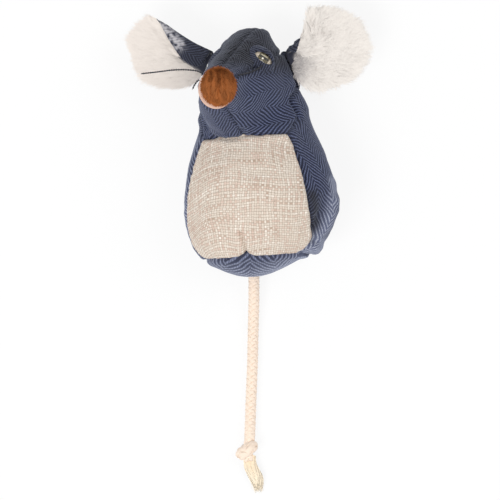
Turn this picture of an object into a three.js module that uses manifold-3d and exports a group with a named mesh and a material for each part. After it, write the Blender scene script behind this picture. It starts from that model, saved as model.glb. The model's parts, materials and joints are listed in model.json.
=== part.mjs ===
import * as THREE from 'three';
import { mergeVertices } from 'three/addons/utils/BufferGeometryUtils.js';
import Module from 'manifold-3d';

// A catnip mouse: a stuffed toy sewn from herringbone tweed, with a linen belly, a plush nose,
// pile-lined ears and a knotted rope tail. It lies on its back with its belly and nose up.
// Millimetres. +X is the right of the toy seen from above, +Y points from the tail to the crown
// and +Z points up, out of the belly. Left and right are as seen from above.

const wasm = await Module();
wasm.setup();

// Cloth and clearances
const clothThickness = 0.9;
const seamGap = 0.3;
const fitGap = 0.3;

// Body: a pear from the base, at y = 0, to its top inside the head, lying on the floor at z = 0
const bodyLength = 99.5;
const bodyWidth = 68.4;
const bodyDepth = 55;
const bodyTurn = 17;
const restFlatDepth = 0.5;
const bodyMiddleShare = 0.05;
// Each row: place along the body, left and right side (shares of the width), back and front
// (shares of the depth)
const bodyRowShares = [
  [0, 0.005, 0.005, 0.4, 0.4],
  [0.02, -0.15, 0.145, 0.2, 0.61],
  [0.07, -0.285, 0.3, 0.06, 0.8],
  [0.13, -0.36, 0.445, 0.006, 0.91],
  [0.23, -0.408, 0.54, 0, 0.975],
  [0.352, -0.421, 0.579, 0, 1],
  [0.5, -0.39, 0.517, 0, 0.95],
  [0.64, -0.333, 0.425, 0, 0.84],
  [0.78, -0.27, 0.345, 0.012, 0.69],
  [0.9, -0.175, 0.235, 0.075, 0.54],
  [0.975, -0.06, 0.12, 0.18, 0.4],
  [1, 0.03, 0.03, 0.28, 0.28],
];
// How far the back of a section is flattened: 1 is an ellipse and less is flatter
const backRoundnessShare = 0.72;

// Head: rows from its back, low over the floor, up to the end of the snout
const headWidth = 42.4;
const headHeight = 52.5;
const headDepth = 63.5;
const headBackHeight = 2.5;
const headPlaceShare = 0.573;
const headLeftShare = 0.526;
const headTurn = 23.6;
// Each row: place from the back to the snout's end (share of the depth), left and right side
// (shares of the width), bottom and top (shares of the height), and how much of the
// triangular crown outline the section has
const headRowShares = [
  [0, 0.57, 0.57, 0.57, 0.57, 0.4],
  [0.04, 0.31, 0.77, 0.36, 0.78, 0.5],
  [0.15, 0.12, 0.925, 0.19, 0.925, 0.8],
  [0.275, 0.03, 0.995, 0.08, 0.99, 1],
  [0.4, 0.04, 0.97, 0.02, 1, 1],
  [0.53, 0.045, 0.87, 0.015, 0.945, 0.9],
  [0.655, 0.03, 0.725, 0.07, 0.865, 0.65],
  [0.78, 0.022, 0.575, 0.155, 0.78, 0.4],
  [0.905, 0.015, 0.455, 0.26, 0.7, 0.15],
];
// Radius of a section at even steps round it, from its right side over the crown, as shares
// of its half width and half height
const headOutlineShares = [
  1, 0.95, 0.905, 1, 1, 0.955, 0.9, 0.92, 0.98, 1.06, 1.1, 1.05, 1, 1.04, 1.08, 1.04,
];

// Seams
const cheekSeamAngle = 30;
const chinSeamShift = 2.6;
const baseSeamHeight = 9;
const baseSeamTilt = 4;
const bellyWidth = 56.6;
const bellyTopWidth = 37.8;
const bellyTopShift = -2;
const bellyTopHeight = 62.2;
const bellyShoulderHeight = 43;
const bellyCornerRadius = 15;
const bellyCornerDrop = 0.6;
// Throat: the part of the cheek panels that lies on the body, over the belly's upper edge
const throatTopWidth = 55;
const throatTopHeight = 90;

// Nose patch on the snout's end
const noseDiameter = 17.4;
const noseThickness = 2.4;
const noseCrown = 0.3;
const noseEdgeRound = 1;
const noseOverhang = 0.4;
const noseHeightShare = 0.493;

// Moulded eyes with a post through the cloth and a washer behind it
const eyeDiameter = 8.2;
const eyeDomeEdge = 0.4;
const eyeDomeHeight = 1.7;
const eyeDiscThickness = 0.7;
const eyeDiscStep = 0.4;
const eyePostDiameter = 2.6;
const eyePostLength = 7;
const eyeSeatDip = 0.8;
const eyeLift = 0.5;
const washerDiameter = 8;
const washerThickness = 1.2;
const rightEye = { angle: 45, placeShare: 0.61 };
const leftEye = { angle: 141, placeShare: 0.56 };

// Ears: a tweed back and a pile front, the upper edge folded over along a straight crease
const earLength = 35;
const earWidth = 32;
const earBackThickness = 0.9;
const earPileThickness = 2;
const earEdgeThickness = 0.6;
const earPileEdgePower = 4;
const earFoldRadius = 2.9;
const earRootGap = 0.5;
const earRootShare = 0.39;
const earDroop = 6;
const earMiddleShare = 0.5;
// Outline from the root's lower corner round to its upper one: shares of the length and width
const earOutlineShares = [
  [0.02, -0.2], [0.07, -0.34], [0.28, -0.46], [0.5, -0.5], [0.7, -0.455], [0.88, -0.31], [0.99, -0.09],
  [0.99, 0.12], [0.9, 0.33], [0.72, 0.48], [0.5, 0.59], [0.3, 0.66], [0.12, 0.64], [0.02, 0.5],
];
// Where each ear is rooted round the head, how far it rises towards the crown, its crease, and
// between which shares of the ear's length the fold opens out
const leftEar = {
  side: -1, rootAngle: 156, rise: 28, leanShare: -0.12, creaseStart: 3.2, creaseSlope: 1, foldAngle: 172,
  openShares: [0.9, 1.4],
};
const rightEar = {
  side: 1, rootAngle: 24, rise: 21, leanShare: 0.03, creaseStart: 2.4, creaseSlope: 22.5, foldAngle: 168,
  openShares: [0.32, 0.7],
};
// How far an ear turns about its root, back and forward, in degrees
const earTurns = [-20, -10, 0, 12.5, 25];

// Whiskers of waxed thread: where each leaves the snout, and its route in shares of its length
const whiskerDiameter = 0.7;
const longWhisker = { angle: 140, placeShare: 0.965, length: 27 };
const longWhiskerShares = [
  [0, 0, 0], [-0.06, 0.03, -0.01], [-0.21, 0.055, -0.06], [-0.47, 0.057, -0.14], [-0.68, 0.033, -0.22],
  [-1, 0, -0.35],
];
const shortWhisker = { angle: 160, placeShare: 0.93, length: 4.4 };
const shortWhiskerShares = [[0, 0, 0], [-0.2, -0.12, 0], [-0.5, -0.5, -0.05], [-0.7, -0.95, -0.1]];
// The right whisker lies along the cheek seam: angle round the snout in turns, place on the head
const rightWhiskerShares = [[0.09, 0.93], [0.086, 0.86], [0.084, 0.79], [0.088, 0.72], [0.096, 0.665]];

// Stuffing, with the catnip pouch in a pocket that a last wad closes
const stuffingGap = 0.5;
const pouchDiameter = 22;
const pouchLength = 34;
const pouchWall = 0.5;
const pouchMouthDiameter = 7;
const pouchStart = 22;
const pouchHeightShare = 0.5;
// Side of the pouch from its bottom to its mouth: width from the mouth's to the full, height
const pouchSideShares = [[0.6, 0.02], [0.9, 0.12], [1, 0.35], [0.95, 0.65], [0.6, 0.85], [0, 1]];

// Tail rope: it leaves the base low down, at a hinge that lifts it, and further on it swings
const ropeDiameter = 4.8;
const tailExitHeight = 9.6;
const tailSide = 2;
const tailAnchorDepth = 6;
const tailAnchorKnotDiameter = 7;
// Route of the root stretch from its hinge, and of the free stretch from the swing hinge
const tailRootEnd = [0, -3.9, -0.9];
const tailRoute = [
  [0, 0, 0], [0, -4, -1.1], [-0.1, -8, -2.2], [-0.2, -12, -3.1], [-0.3, -16, -3.7], [-0.4, -21, -4],
  [-0.5, -26, -4], [-0.6, -31, -4], [-0.8, -36, -4], [-1, -41, -4], [-1.2, -46, -4], [-1.4, -51, -4],
  [-1.5, -55.5, -3.9], [-1.7, -60, -3.3], [-1.9, -65, -2.9],
];
const knotWidth = 9.5;
const knotStrandDiameter = 4.3;
const knotLength = 10;
const knotShift = -0.9;
const knotWrapTilt = 33;
const knotWrapSpacing = 3;
const frayLength = 13.5;
const frayWidth = 8.8;
const frayThickness = 3.6;
const fraySideways = 5.2;
// Each row: place along the tuft, how far it is sideways, its width and its thickness
const frayRowShares = [
  [0, 0, 0.45, 1], [0.25, 0.3, 0.8, 0.9], [0.5, 0.65, 1, 0.8], [0.75, 0.9, 0.75, 0.6], [1, 1, 0.45, 0.4],
];

// Numbers of sides and steps
const bodySides = 40;
const headSides = 32;
const stuffingSides = 22;
const rowSteps = 2;
const bellyCurveSteps = 8;
const eyeSides = 16;
const eyeDomeSteps = 3;
const noseSides = 28;
const noseEdgeSteps = 3;
const earSides = 30;
const earRings = 6;
const whiskerSides = 6;
const whiskerSteps = 10;
const ropeSides = 10;
const ropeSteps = 14;
const pouchSides = 16;

const finish = (color, roughness) => new THREE.MeshStandardMaterial({ color, roughness, metalness: 0 });
const tweed = finish('#3a4463', 0.95);
const linen = finish('#cfc3b6', 0.95);
const pile = finish('#efe6e0', 0.95);
const plush = finish('#9a5528', 0.95);
const cotton = finish('#fbe6d2', 0.9);
const muslin = finish('#e6dcc4', 0.95);
const filling = finish('#f4f2ee', 1);
const herb = finish('#6f7a48', 1);
const thread = finish('#141416', 0.5);
const clear = finish('#e8dfae', 0.05);
const iris = finish('#c9a227', 0.3);
const plastic = finish('#e9e9e6', 0.5);

const radians = THREE.MathUtils.degToRad;
const fullTurn = 360;
const vector = (x, y, z) => new THREE.Vector3(x, y, z);

// The row part way through a table, on a smooth curve through its rows. Where the end row is
// a single point, the form goes on mirrored past it, which rounds that end.
function rowAt(rows, share) {
  const last = rows.length - 1;
  const i = Math.min(Math.floor(share * last), last - 1);
  const t = share * last - i;
  const [a, b] = [rows[i], rows[i + 1]];
  const before = rows[i - 1] ?? pastEnd(a, b);
  const after = rows[i + 2] ?? pastEnd(b, a);
  return a.map((value, k) => 0.5 * (
    2 * value + (b[k] - before[k]) * t
    + (2 * before[k] - 5 * value + 4 * b[k] - after[k]) * t * t
    + (3 * value - before[k] - 3 * b[k] + after[k]) * t * t * t
  ));
}

function pastEnd(end, next) {
  const closed = end[1] === end[2];
  return end.map((value, k) => (closed && k === 0 ? next[k] : 2 * value - next[k]));
}

// A closed surface from rings of points and the two points that close its ends. The second
// half of the rings is cut by the other diagonal, so that both faces of a sheet are cut alike.
function ringForm(rings, start, end) {
  const sides = rings[0].length;
  const points = [start, ...rings.flat(), end];
  const index = [];
  for (let side = 0; side < sides; side += 1) {
    const next = (side + 1) % sides;
    index.push(0, 1 + next, 1 + side);
    for (let ring = 0; ring < rings.length - 1; ring += 1) {
      const [a, b] = [1 + ring * sides + side, 1 + ring * sides + next];
      const [c, d] = ring < rings.length / 2 ? [a + sides, b] : [b + sides, a];
      index.push(a, b, c, d, b + sides, a + sides);
    }
    const top = 1 + (rings.length - 1) * sides;
    index.push(top + side, top + next, points.length - 1);
  }
  const geometry = new THREE.BufferGeometry().setFromPoints(points);
  geometry.setIndex(index);
  geometry.computeVertexNormals();
  return geometry;
}

// The form moved inwards along its normals, and kept off the floor by as much
function inset(form, depth) {
  const geometry = form.clone();
  const { position, normal } = geometry.attributes;
  const point = vector();
  const out = vector();
  for (let i = 0; i < position.count; i += 1) {
    point.fromBufferAttribute(position, i).addScaledVector(out.fromBufferAttribute(normal, i), -depth);
    position.setXYZ(i, point.x, point.y, Math.max(point.z, depth));
  }
  return geometry;
}

// A solid from a closed geometry, with its faces turned out and no triangle that is a line
function solidOf(geometry) {
  const bare = new THREE.BufferGeometry();
  bare.setAttribute('position', geometry.attributes.position);
  bare.setIndex(geometry.index);
  const { attributes: { position }, index } = mergeVertices(bare);
  const corners = [vector(), vector(), vector()];
  const triangles = [];
  let volume = 0;
  for (let i = 0; i < index.count; i += 3) {
    const three = [index.getX(i), index.getX(i + 1), index.getX(i + 2)];
    if (new Set(three).size === 3) {
      const [a, b, c] = corners.map((corner, k) => corner.fromBufferAttribute(position, three[k]));
      volume += a.dot(b.cross(c));
      triangles.push(three);
    }
  }
  const turned = volume < 0 ? triangles.map(([a, b, c]) => [a, c, b]) : triangles;
  return new wasm.Manifold(new wasm.Mesh({
    numProp: 3,
    vertProperties: new Float32Array(position.array),
    triVerts: new Uint32Array(turned.flat()),
  }));
}

function meshOf(name, solid, material) {
  const { vertProperties, triVerts } = solid.getMesh();
  const geometry = new THREE.BufferGeometry();
  geometry.setAttribute('position', new THREE.BufferAttribute(new Float32Array(vertProperties), 3));
  geometry.setIndex(new THREE.BufferAttribute(new Uint32Array(triVerts), 1));
  const mesh = new THREE.Mesh(geometry, material.clone());
  mesh.name = name;
  return mesh;
}

const placed = (geometry, matrix) => solidOf(geometry.clone().applyMatrix4(matrix));

// What lies in front of a plane, half a gap away from it
const inFrontOf = (solid, normal, point, gap) => (
  solid.trimByPlane(normal.toArray(), normal.dot(point) + gap / 2)
);

// A piece turned round its own Y axis, from points of radius and height
const turnedPiece = (points, sides) => (
  new THREE.LatheGeometry(points.map(([radius, height]) => new THREE.Vector2(radius, height)), sides)
);

// Points of a quarter ellipse, from its rim at a height up to the axis
function quarterRound(radius, low, rise, steps) {
  return Array.from({ length: steps + 1 }, (_, i) => {
    const angle = (i / steps) * (Math.PI / 2);
    return [i === steps ? 0 : radius * Math.cos(angle), low + rise * Math.sin(angle)];
  });
}

// Body form
const bodyRows = bodyRowShares.map(([along, left, right, back, front]) => [
  along * bodyLength, left * bodyWidth, right * bodyWidth,
  back * bodyDepth - restFlatDepth, front * bodyDepth - restFlatDepth,
]);

function bodyForm(sides, steps) {
  const count = (bodyRows.length - 1) * steps;
  const ringAt = (i) => {
    const [y, left, right, back, front] = rowAt(bodyRows, i / count);
    return Array.from({ length: sides }, (_, side) => {
      const angle = -(side / sides) * 2 * Math.PI;
      const swing = Math.sin(angle);
      const rise = swing > 0 ? swing : -((-swing) ** backRoundnessShare);
      return vector(
        (left + right) / 2 + ((right - left) / 2) * Math.cos(angle), y,
        (back + front) / 2 + ((front - back) / 2) * rise,
      );
    });
  };
  const rings = Array.from({ length: count - 1 }, (_, i) => ringAt(i + 1));
  return ringForm(rings, ringAt(0)[0], ringAt(count)[0]);
}

// Head form
const headBottom = headPlaceShare * bodyLength;
const headSide = -headLeftShare * headWidth;
const snoutRadius = noseDiameter / 2 - noseOverhang;
const noseCentre = vector(
  snoutRadius + headSide, headBottom + noseHeightShare * headHeight, headBackHeight + headDepth,
);
const headRows = headRowShares.map(([depth, left, right, bottom, top, crown]) => [
  headBackHeight + depth * headDepth, headSide + left * headWidth, headSide + right * headWidth,
  headBottom + bottom * headHeight, headBottom + top * headHeight, crown,
]);
headRows.push([
  noseCentre.z, noseCentre.x - snoutRadius, noseCentre.x + snoutRadius,
  noseCentre.y - snoutRadius, noseCentre.y + snoutRadius, 0,
]);

// Radius share of a section at an angle in degrees, smooth between its steps
function outlineRadius(angle) {
  const steps = headOutlineShares.length;
  const place = (THREE.MathUtils.euclideanModulo(angle, fullTurn) / fullTurn) * steps;
  const i = Math.floor(place);
  return THREE.MathUtils.lerp(
    headOutlineShares[i % steps], headOutlineShares[(i + 1) % steps],
    THREE.MathUtils.smoothstep(place - i, 0, 1),
  );
}

function headPoint(angle, share) {
  const [z, left, right, bottom, top, crown] = rowAt(headRows, share);
  const radius = 1 + (outlineRadius(angle) - 1) * crown;
  return vector(
    (left + right) / 2 + ((right - left) / 2) * radius * Math.cos(radians(angle)),
    (bottom + top) / 2 + ((top - bottom) / 2) * radius * Math.sin(radians(angle)), z,
  );
}

// Outward direction of the head's surface, from short steps along it
const turnStep = 2;
const shareStep = 0.01;

function headNormal(angle, share) {
  const across = headPoint(angle + turnStep, share).sub(headPoint(angle - turnStep, share));
  const along = headPoint(angle, share + shareStep).sub(headPoint(angle, share - shareStep));
  return across.cross(along).normalize();
}

function headForm(sides, steps) {
  const count = (headRows.length - 1) * steps;
  const ringAt = (i) => Array.from({ length: sides }, (_, side) => (
    headPoint((side / sides) * fullTurn, i / count)
  ));
  return ringForm(Array.from({ length: count }, (_, i) => ringAt(i + 1)), headPoint(0, 0), noseCentre);
}

const bodySkin = bodyForm(bodySides, rowSteps);
const headSkin = headForm(headSides, rowSteps);

// Outlines on the body's front, seen square to the way that it faces, grown by a margin
function bellyOutline(margin) {
  const [half, top] = [bellyWidth / 2 + margin, bellyTopWidth / 2 + margin];
  const high = bellyTopHeight + margin;
  const low = baseSeamHeight - bellyCornerDrop - margin;
  const round = bellyCornerRadius + margin;
  const shape = new THREE.Shape();
  shape.moveTo(bellyTopShift - top, high);
  shape.quadraticCurveTo(-half, bellyShoulderHeight, -half, low + round);
  shape.quadraticCurveTo(-half, low, round - half, low);
  shape.lineTo(half - round, low);
  shape.quadraticCurveTo(half, low, half, low + round);
  shape.quadraticCurveTo(half, bellyShoulderHeight, bellyTopShift + top, high);
  shape.closePath();
  return shape;
}

function throatOutline(margin) {
  const [low, high] = [bellyTopWidth / 2 + margin, throatTopWidth / 2 + margin];
  const bottom = bellyTopHeight + seamGap - margin;
  return new THREE.Shape([
    new THREE.Vector2(bellyTopShift - low, bottom),
    new THREE.Vector2(bellyTopShift + low, bottom),
    new THREE.Vector2(bellyTopShift + high, throatTopHeight),
    new THREE.Vector2(bellyTopShift - high, throatTopHeight),
  ]);
}

// The outlines' level lines tilt with the base seam
const bodyMiddle = vector(bodyMiddleShare * bodyWidth, baseSeamHeight, bodyDepth / 2);
const seamTilt = new THREE.Matrix4().makeShear(Math.tan(radians(baseSeamTilt)), 0, 0, 0, 0, 0);
const bodyFacing = new THREE.Matrix4().makeRotationY(-radians(bodyTurn));
bodyFacing.setPosition(bodyMiddle.x, 0, bodyMiddle.z);
const frontPlace = bodyFacing.clone().multiply(seamTilt);
const frontTool = (outlineOf, margin) => placed(new THREE.ExtrudeGeometry(outlineOf(margin), {
  depth: bodyDepth, bevelEnabled: false, curveSegments: bellyCurveSteps,
}).translate(0, 0, -margin), frontPlace);

// Cloth over the body, left out under the head and at the throat, and cloth over the head,
// left out where it meets the body but carried on over the throat
const bodyWhole = solidOf(inset(bodySkin, 0));
const bodyInside = solidOf(inset(bodySkin, clothThickness));
const headInside = solidOf(inset(headSkin, clothThickness));
const throat = frontTool(throatOutline, 0);
const bodyCloth = bodyWhole.subtract(bodyInside)
  .subtract(solidOf(inset(headSkin, -seamGap))).subtract(frontTool(throatOutline, seamGap));
const headCloth = solidOf(headSkin).subtract(headInside)
  .subtract(solidOf(inset(bodySkin, -seamGap)).subtract(throat)).subtract(bodyInside)
  .add(bodyWhole.intersect(throat).subtract(bodyInside).subtract(headInside));

// Body panels, each cut from the cloth along its seams
function bodyPanels() {
  const down = vector(Math.sin(radians(baseSeamTilt)), -Math.cos(radians(baseSeamTilt)), 0);
  const right = vector().setFromMatrixColumn(bodyFacing, 0);
  const above = inFrontOf(bodyCloth, down.clone().negate(), bodyMiddle, seamGap);
  const sides = above.subtract(frontTool(bellyOutline, seamGap));
  return [
    meshOf('base_panel', inFrontOf(bodyCloth, down, bodyMiddle, seamGap).subtract(anchorRoom), tweed),
    meshOf('belly_panel', above.intersect(frontTool(bellyOutline, 0)), linen),
    meshOf('left_side_panel', inFrontOf(sides, right.clone().negate(), bodyMiddle, seamGap), tweed),
    meshOf('right_side_panel', inFrontOf(sides, right, bodyMiddle, seamGap), tweed),
  ];
}

// Head panels: two cheeks that meet under the snout, two forehead panels that meet over it
function headPanels() {
  const right = vector(Math.cos(radians(headTurn)), 0, Math.sin(radians(headTurn)));
  const left = right.clone().negate();
  const overRight = vector(-Math.sin(radians(cheekSeamAngle)), Math.cos(radians(cheekSeamAngle)), 0);
  const overLeft = overRight.clone().reflect(right);
  const chin = noseCentre.clone().setX(noseCentre.x + chinSeamShift);
  const panel = (name, side, middle, seam) => meshOf(name, inFrontOf(
    inFrontOf(headCloth.subtract(postHoles), side, middle, seamGap), seam, noseCentre, seamGap,
  ), tweed);
  return [
    panel('left_forehead_panel', left, noseCentre, overLeft),
    panel('right_forehead_panel', right, noseCentre, overRight),
    panel('left_cheek_panel', left, chin, overLeft.clone().negate()),
    panel('right_cheek_panel', right, chin, overRight.clone().negate()),
  ];
}

// Nose patch, flat on the end of the snout, with a rounded edge
function nosePatch() {
  const inner = noseDiameter / 2 - noseEdgeRound;
  const edgeLow = fitGap + noseThickness - noseEdgeRound;
  const edge = quarterRound(noseEdgeRound, edgeLow, noseEdgeRound, noseEdgeSteps);
  const patch = meshOf('nose_patch', solidOf(turnedPiece([
    [0, fitGap], [inner, fitGap], [noseDiameter / 2, fitGap + noseEdgeRound / 2],
    ...edge.map(([radius, height]) => [inner + radius, height]),
    [0, fitGap + noseThickness + noseCrown],
  ], noseSides)), plush);
  patch.rotation.x = Math.PI / 2;
  patch.position.copy(noseCentre);
  return patch;
}

// A group at a point of the head, its Y axis pointing straight out of the surface
function headSeat({ angle, placeShare }) {
  const seat = new THREE.Group();
  seat.position.copy(headPoint(angle, placeShare));
  seat.quaternion.setFromUnitVectors(vector(0, 1, 0), headNormal(angle, placeShare));
  seat.updateMatrix();
  return seat;
}

// One moulded eye: a clear dome, the iris disc with its post, and the washer behind the cloth
const postRadius = eyePostDiameter / 2;
const washerTop = -(clothThickness + fitGap + eyeSeatDip);
const washerLow = washerTop - washerThickness;

function eyeGroup(eye, side) {
  const discTop = eyeLift + eyeDiscThickness;
  const discRadius = (eyeDiameter - eyeDiscStep) / 2;
  const domeLow = discTop + fitGap;
  const bore = postRadius + fitGap;
  const dome = [
    [0, domeLow], [eyeDiameter / 2, domeLow],
    ...quarterRound(eyeDiameter / 2, domeLow + eyeDomeEdge, eyeDomeHeight, eyeDomeSteps),
  ];
  const disc = [
    [0, -eyePostLength], [postRadius, -eyePostLength], [postRadius, eyeLift], [discRadius, eyeLift],
    [discRadius, discTop], [0, discTop],
  ];
  const washer = [
    [bore, washerLow], [washerDiameter / 2, washerLow], [washerDiameter / 2, washerTop], [bore, washerTop],
    [bore, washerLow],
  ];
  return headSeat(eye).add(
    meshOf(`${side}_eye_dome`, solidOf(turnedPiece(dome, eyeSides)), clear),
    meshOf(`${side}_eye_iris`, solidOf(turnedPiece(disc, eyeSides)), iris),
    meshOf(`${side}_eye_washer`, solidOf(turnedPiece(washer, eyeSides)), plastic),
  );
}

// Room that the eyes take: holes through the cloth, and stepped pockets in the stuffing
function eyeRoom(profile) {
  const room = (eye) => placed(turnedPiece(profile, eyeSides), headSeat(eye).matrix);
  return room(rightEye).add(room(leftEye));
}

const postHoles = eyeRoom([
  [0, washerTop], [postRadius + fitGap, washerTop], [postRadius + fitGap, eyeDiameter], [0, eyeDiameter],
]);
const washerPockets = eyeRoom([
  [0, -eyePostLength - fitGap], [postRadius + fitGap, -eyePostLength - fitGap],
  [postRadius + fitGap, washerLow - fitGap], [washerDiameter / 2 + fitGap, washerLow - fitGap],
  [washerDiameter / 2 + fitGap, eyeDiameter], [0, eyeDiameter],
]);

// A point of an ear's flat pattern, at a height over its cloth, folded over the crease.
// The pattern runs out from the root along X, and its upper edge is towards +Y.
function folded(ear, along, across, height) {
  const [cos, sin] = [Math.cos(radians(ear.creaseSlope)), Math.sin(radians(ear.creaseSlope))];
  const beyond = (across - ear.creaseStart) * cos - along * sin;
  if (beyond <= 0) {
    return [along, across, height];
  }
  const down = along * cos + (across - ear.creaseStart) * sin;
  const opening = THREE.MathUtils.smoothstep(down / earLength, ...ear.openShares);
  const bend = Math.min(beyond / earFoldRadius, radians(ear.foldAngle) * (1 - opening));
  const flat = beyond - bend * earFoldRadius;
  const reach = (earFoldRadius - height) * Math.sin(bend) + flat * Math.cos(bend);
  return [
    down * cos - reach * sin,
    ear.creaseStart + down * sin + reach * cos,
    earFoldRadius - (earFoldRadius - height) * Math.cos(bend) + flat * Math.sin(bend),
  ];
}

// One layer of an ear, from a height over its cloth up to the height that crown gives for a
// share of the way from the middle to the edge
function earLayer(ear, low, crown) {
  const outline = new THREE.CatmullRomCurve3(earOutlineShares.map(([along, across]) => vector(
    along * earLength, across * earWidth + along * ear.leanShare * earLength, 0,
  )), true).getSpacedPoints(earSides).slice(1);
  const middle = vector(earMiddleShare * earLength, earMiddleShare * ear.leanShare * earLength, 0);
  const ringAt = (share, height) => outline.map((edge) => {
    const point = middle.clone().lerp(edge, share);
    const [x, y, z] = folded(ear, point.x, point.y, height);
    return vector(x, ear.side * y, z);
  });
  const shares = Array.from({ length: earRings }, (_, i) => (i + 1) / earRings);
  const rings = [
    ...shares.map((share) => ringAt(share, low)),
    ...shares.toReversed().map((share) => ringAt(share, crown(share))),
  ];
  return ringForm(rings, ringAt(0, low)[0], ringAt(0, crown(0))[0]);
}

// An ear in a group at its root, whose Y axis is the root line that it turns about
function earGroup(ear, side) {
  const group = new THREE.Group();
  const [rise, droop] = [radians(ear.rise), radians(earDroop)];
  const out = vector(ear.side * Math.cos(rise), Math.sin(rise), -Math.tan(droop)).normalize();
  const root = vector(-Math.sin(rise), ear.side * Math.cos(rise), 0);
  group.matrix.makeBasis(out, root, out.clone().cross(root));
  group.matrix.setPosition(headPoint(ear.rootAngle, earRootShare));
  group.matrix.decompose(group.position, group.quaternion, group.scale);
  const toGroup = group.matrix.clone().invert();
  const skins = [headSkin, bodySkin].map((skin) => inset(skin, -earRootGap).applyMatrix4(toGroup));
  const rooms = earTurns.flatMap((turn) => (
    skins.map((skin) => placed(skin, new THREE.Matrix4().makeRotationY(radians(turn))))
  ));
  const layer = (low, crown) => (
    rooms.reduce((rest, room) => rest.subtract(room), solidOf(earLayer(ear, low, crown)))
  );
  const pileTop = (share) => (
    fitGap + THREE.MathUtils.lerp(earPileThickness, earEdgeThickness, share ** earPileEdgePower)
  );
  return group.add(
    meshOf(`${side}_ear_back`, layer(-earBackThickness, () => 0), tweed),
    meshOf(`${side}_ear_pile`, layer(fitGap, pileTop), pile),
  );
}

// A round cord along a smooth curve through points
function cordAlong(points, diameter, sides, steps) {
  const section = new THREE.Shape(Array.from({ length: sides }, (_, i) => (
    new THREE.Vector2(diameter / 2, 0).rotateAround(new THREE.Vector2(), (i / sides) * 2 * Math.PI)
  )));
  return new THREE.ExtrudeGeometry(section, {
    steps, bevelEnabled: false, extrudePath: new THREE.CatmullRomCurve3(points),
  });
}

// A point on the head where a whisker's middle lies
const whiskerPoint = (angle, share) => (
  headPoint(angle, share).addScaledVector(headNormal(angle, share), fitGap + whiskerDiameter / 2)
);

// A whisker that stands out from the snout
function whisker(name, { angle, placeShare, length }, shares) {
  const root = whiskerPoint(angle, placeShare);
  const points = shares.map((row) => vector(...row).multiplyScalar(length).add(root));
  return meshOf(name, solidOf(cordAlong(points, whiskerDiameter, whiskerSides, whiskerSteps)), thread);
}

// The right whisker lies on the cloth
function lyingWhisker() {
  const points = rightWhiskerShares.map(([turn, share]) => whiskerPoint(turn * fullTurn, share));
  const cord = cordAlong(points, whiskerDiameter, whiskerSides, whiskerSteps);
  return meshOf('right_whisker', solidOf(cord), thread);
}

// Where the tail leaves the base: the lowest point of the section whose back is at that height
const exitSearchStep = 0.001;

function tailExitPlace() {
  let share = 0.5;
  while (rowAt(bodyRows, share)[3] < tailExitHeight) {
    share -= exitSearchStep;
  }
  const [y, left, right, back] = rowAt(bodyRows, share);
  const [nextY, , , nextBack] = rowAt(bodyRows, share + exitSearchStep);
  return {
    point: vector((left + right) / 2 + tailSide, y, back),
    out: vector(0, nextBack - back, y - nextY).normalize(),
  };
}

const tailExit = tailExitPlace();
const ropeRadius = ropeDiameter / 2;
const tailPivot = tailExit.point.clone().addScaledVector(tailExit.out, ropeRadius + fitGap);

// The rope's inner end with its stop knot, behind the base
function anchorOf(margin) {
  const seat = new THREE.Matrix4().makeRotationFromQuaternion(
    new THREE.Quaternion().setFromUnitVectors(vector(0, 1, 0), tailExit.out),
  ).setPosition(tailExit.point);
  const [radius, end] = [ropeRadius + margin, margin * 2];
  const rope = turnedPiece([
    [0, -tailAnchorDepth], [radius, -tailAnchorDepth], [radius, end], [0, end],
  ], ropeSides);
  const knot = new THREE.SphereGeometry(tailAnchorKnotDiameter / 2 + margin, ropeSides, ropeSides / 2)
    .translate(0, -tailAnchorDepth, 0);
  return placed(rope, seat).add(placed(knot, seat));
}

const anchorRoom = anchorOf(fitGap);

// The overhand knot: the rope's core with two bands wrapped slantwise round it
function knotSolid() {
  const strand = knotStrandDiameter / 2;
  const band = (tilt, shift) => solidOf(
    new THREE.TorusGeometry(knotWidth / 2 - strand, strand, ropeSides, ropeSides * 2)
      .rotateX(Math.PI / 2).rotateZ(radians(tilt)).translate(0, shift, 0),
  );
  const core = solidOf(new THREE.CylinderGeometry(strand, strand, knotLength, ropeSides));
  return core.add(band(knotWrapTilt, knotWrapSpacing / 2)).add(band(-knotWrapTilt, -knotWrapSpacing / 2));
}

// The untwisted end: a flat tuft that spreads and then draws in
function fraySolid() {
  const rings = frayRowShares.map(([along, sideways, width, thickness]) => (
    Array.from({ length: ropeSides }, (_, side) => {
      const angle = (side / ropeSides) * 2 * Math.PI;
      return vector(
        sideways * fraySideways + ((width * frayWidth) / 2) * Math.cos(angle), -along * frayLength,
        ((thickness * frayThickness) / 2) * (1 + Math.sin(angle)),
      );
    })
  ));
  const middleOf = (ring) => (
    ring.reduce((sum, point) => sum.add(point), vector()).divideScalar(ring.length)
  );
  return solidOf(ringForm(rings, middleOf(rings[0]), middleOf(rings.at(-1))));
}

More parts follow.
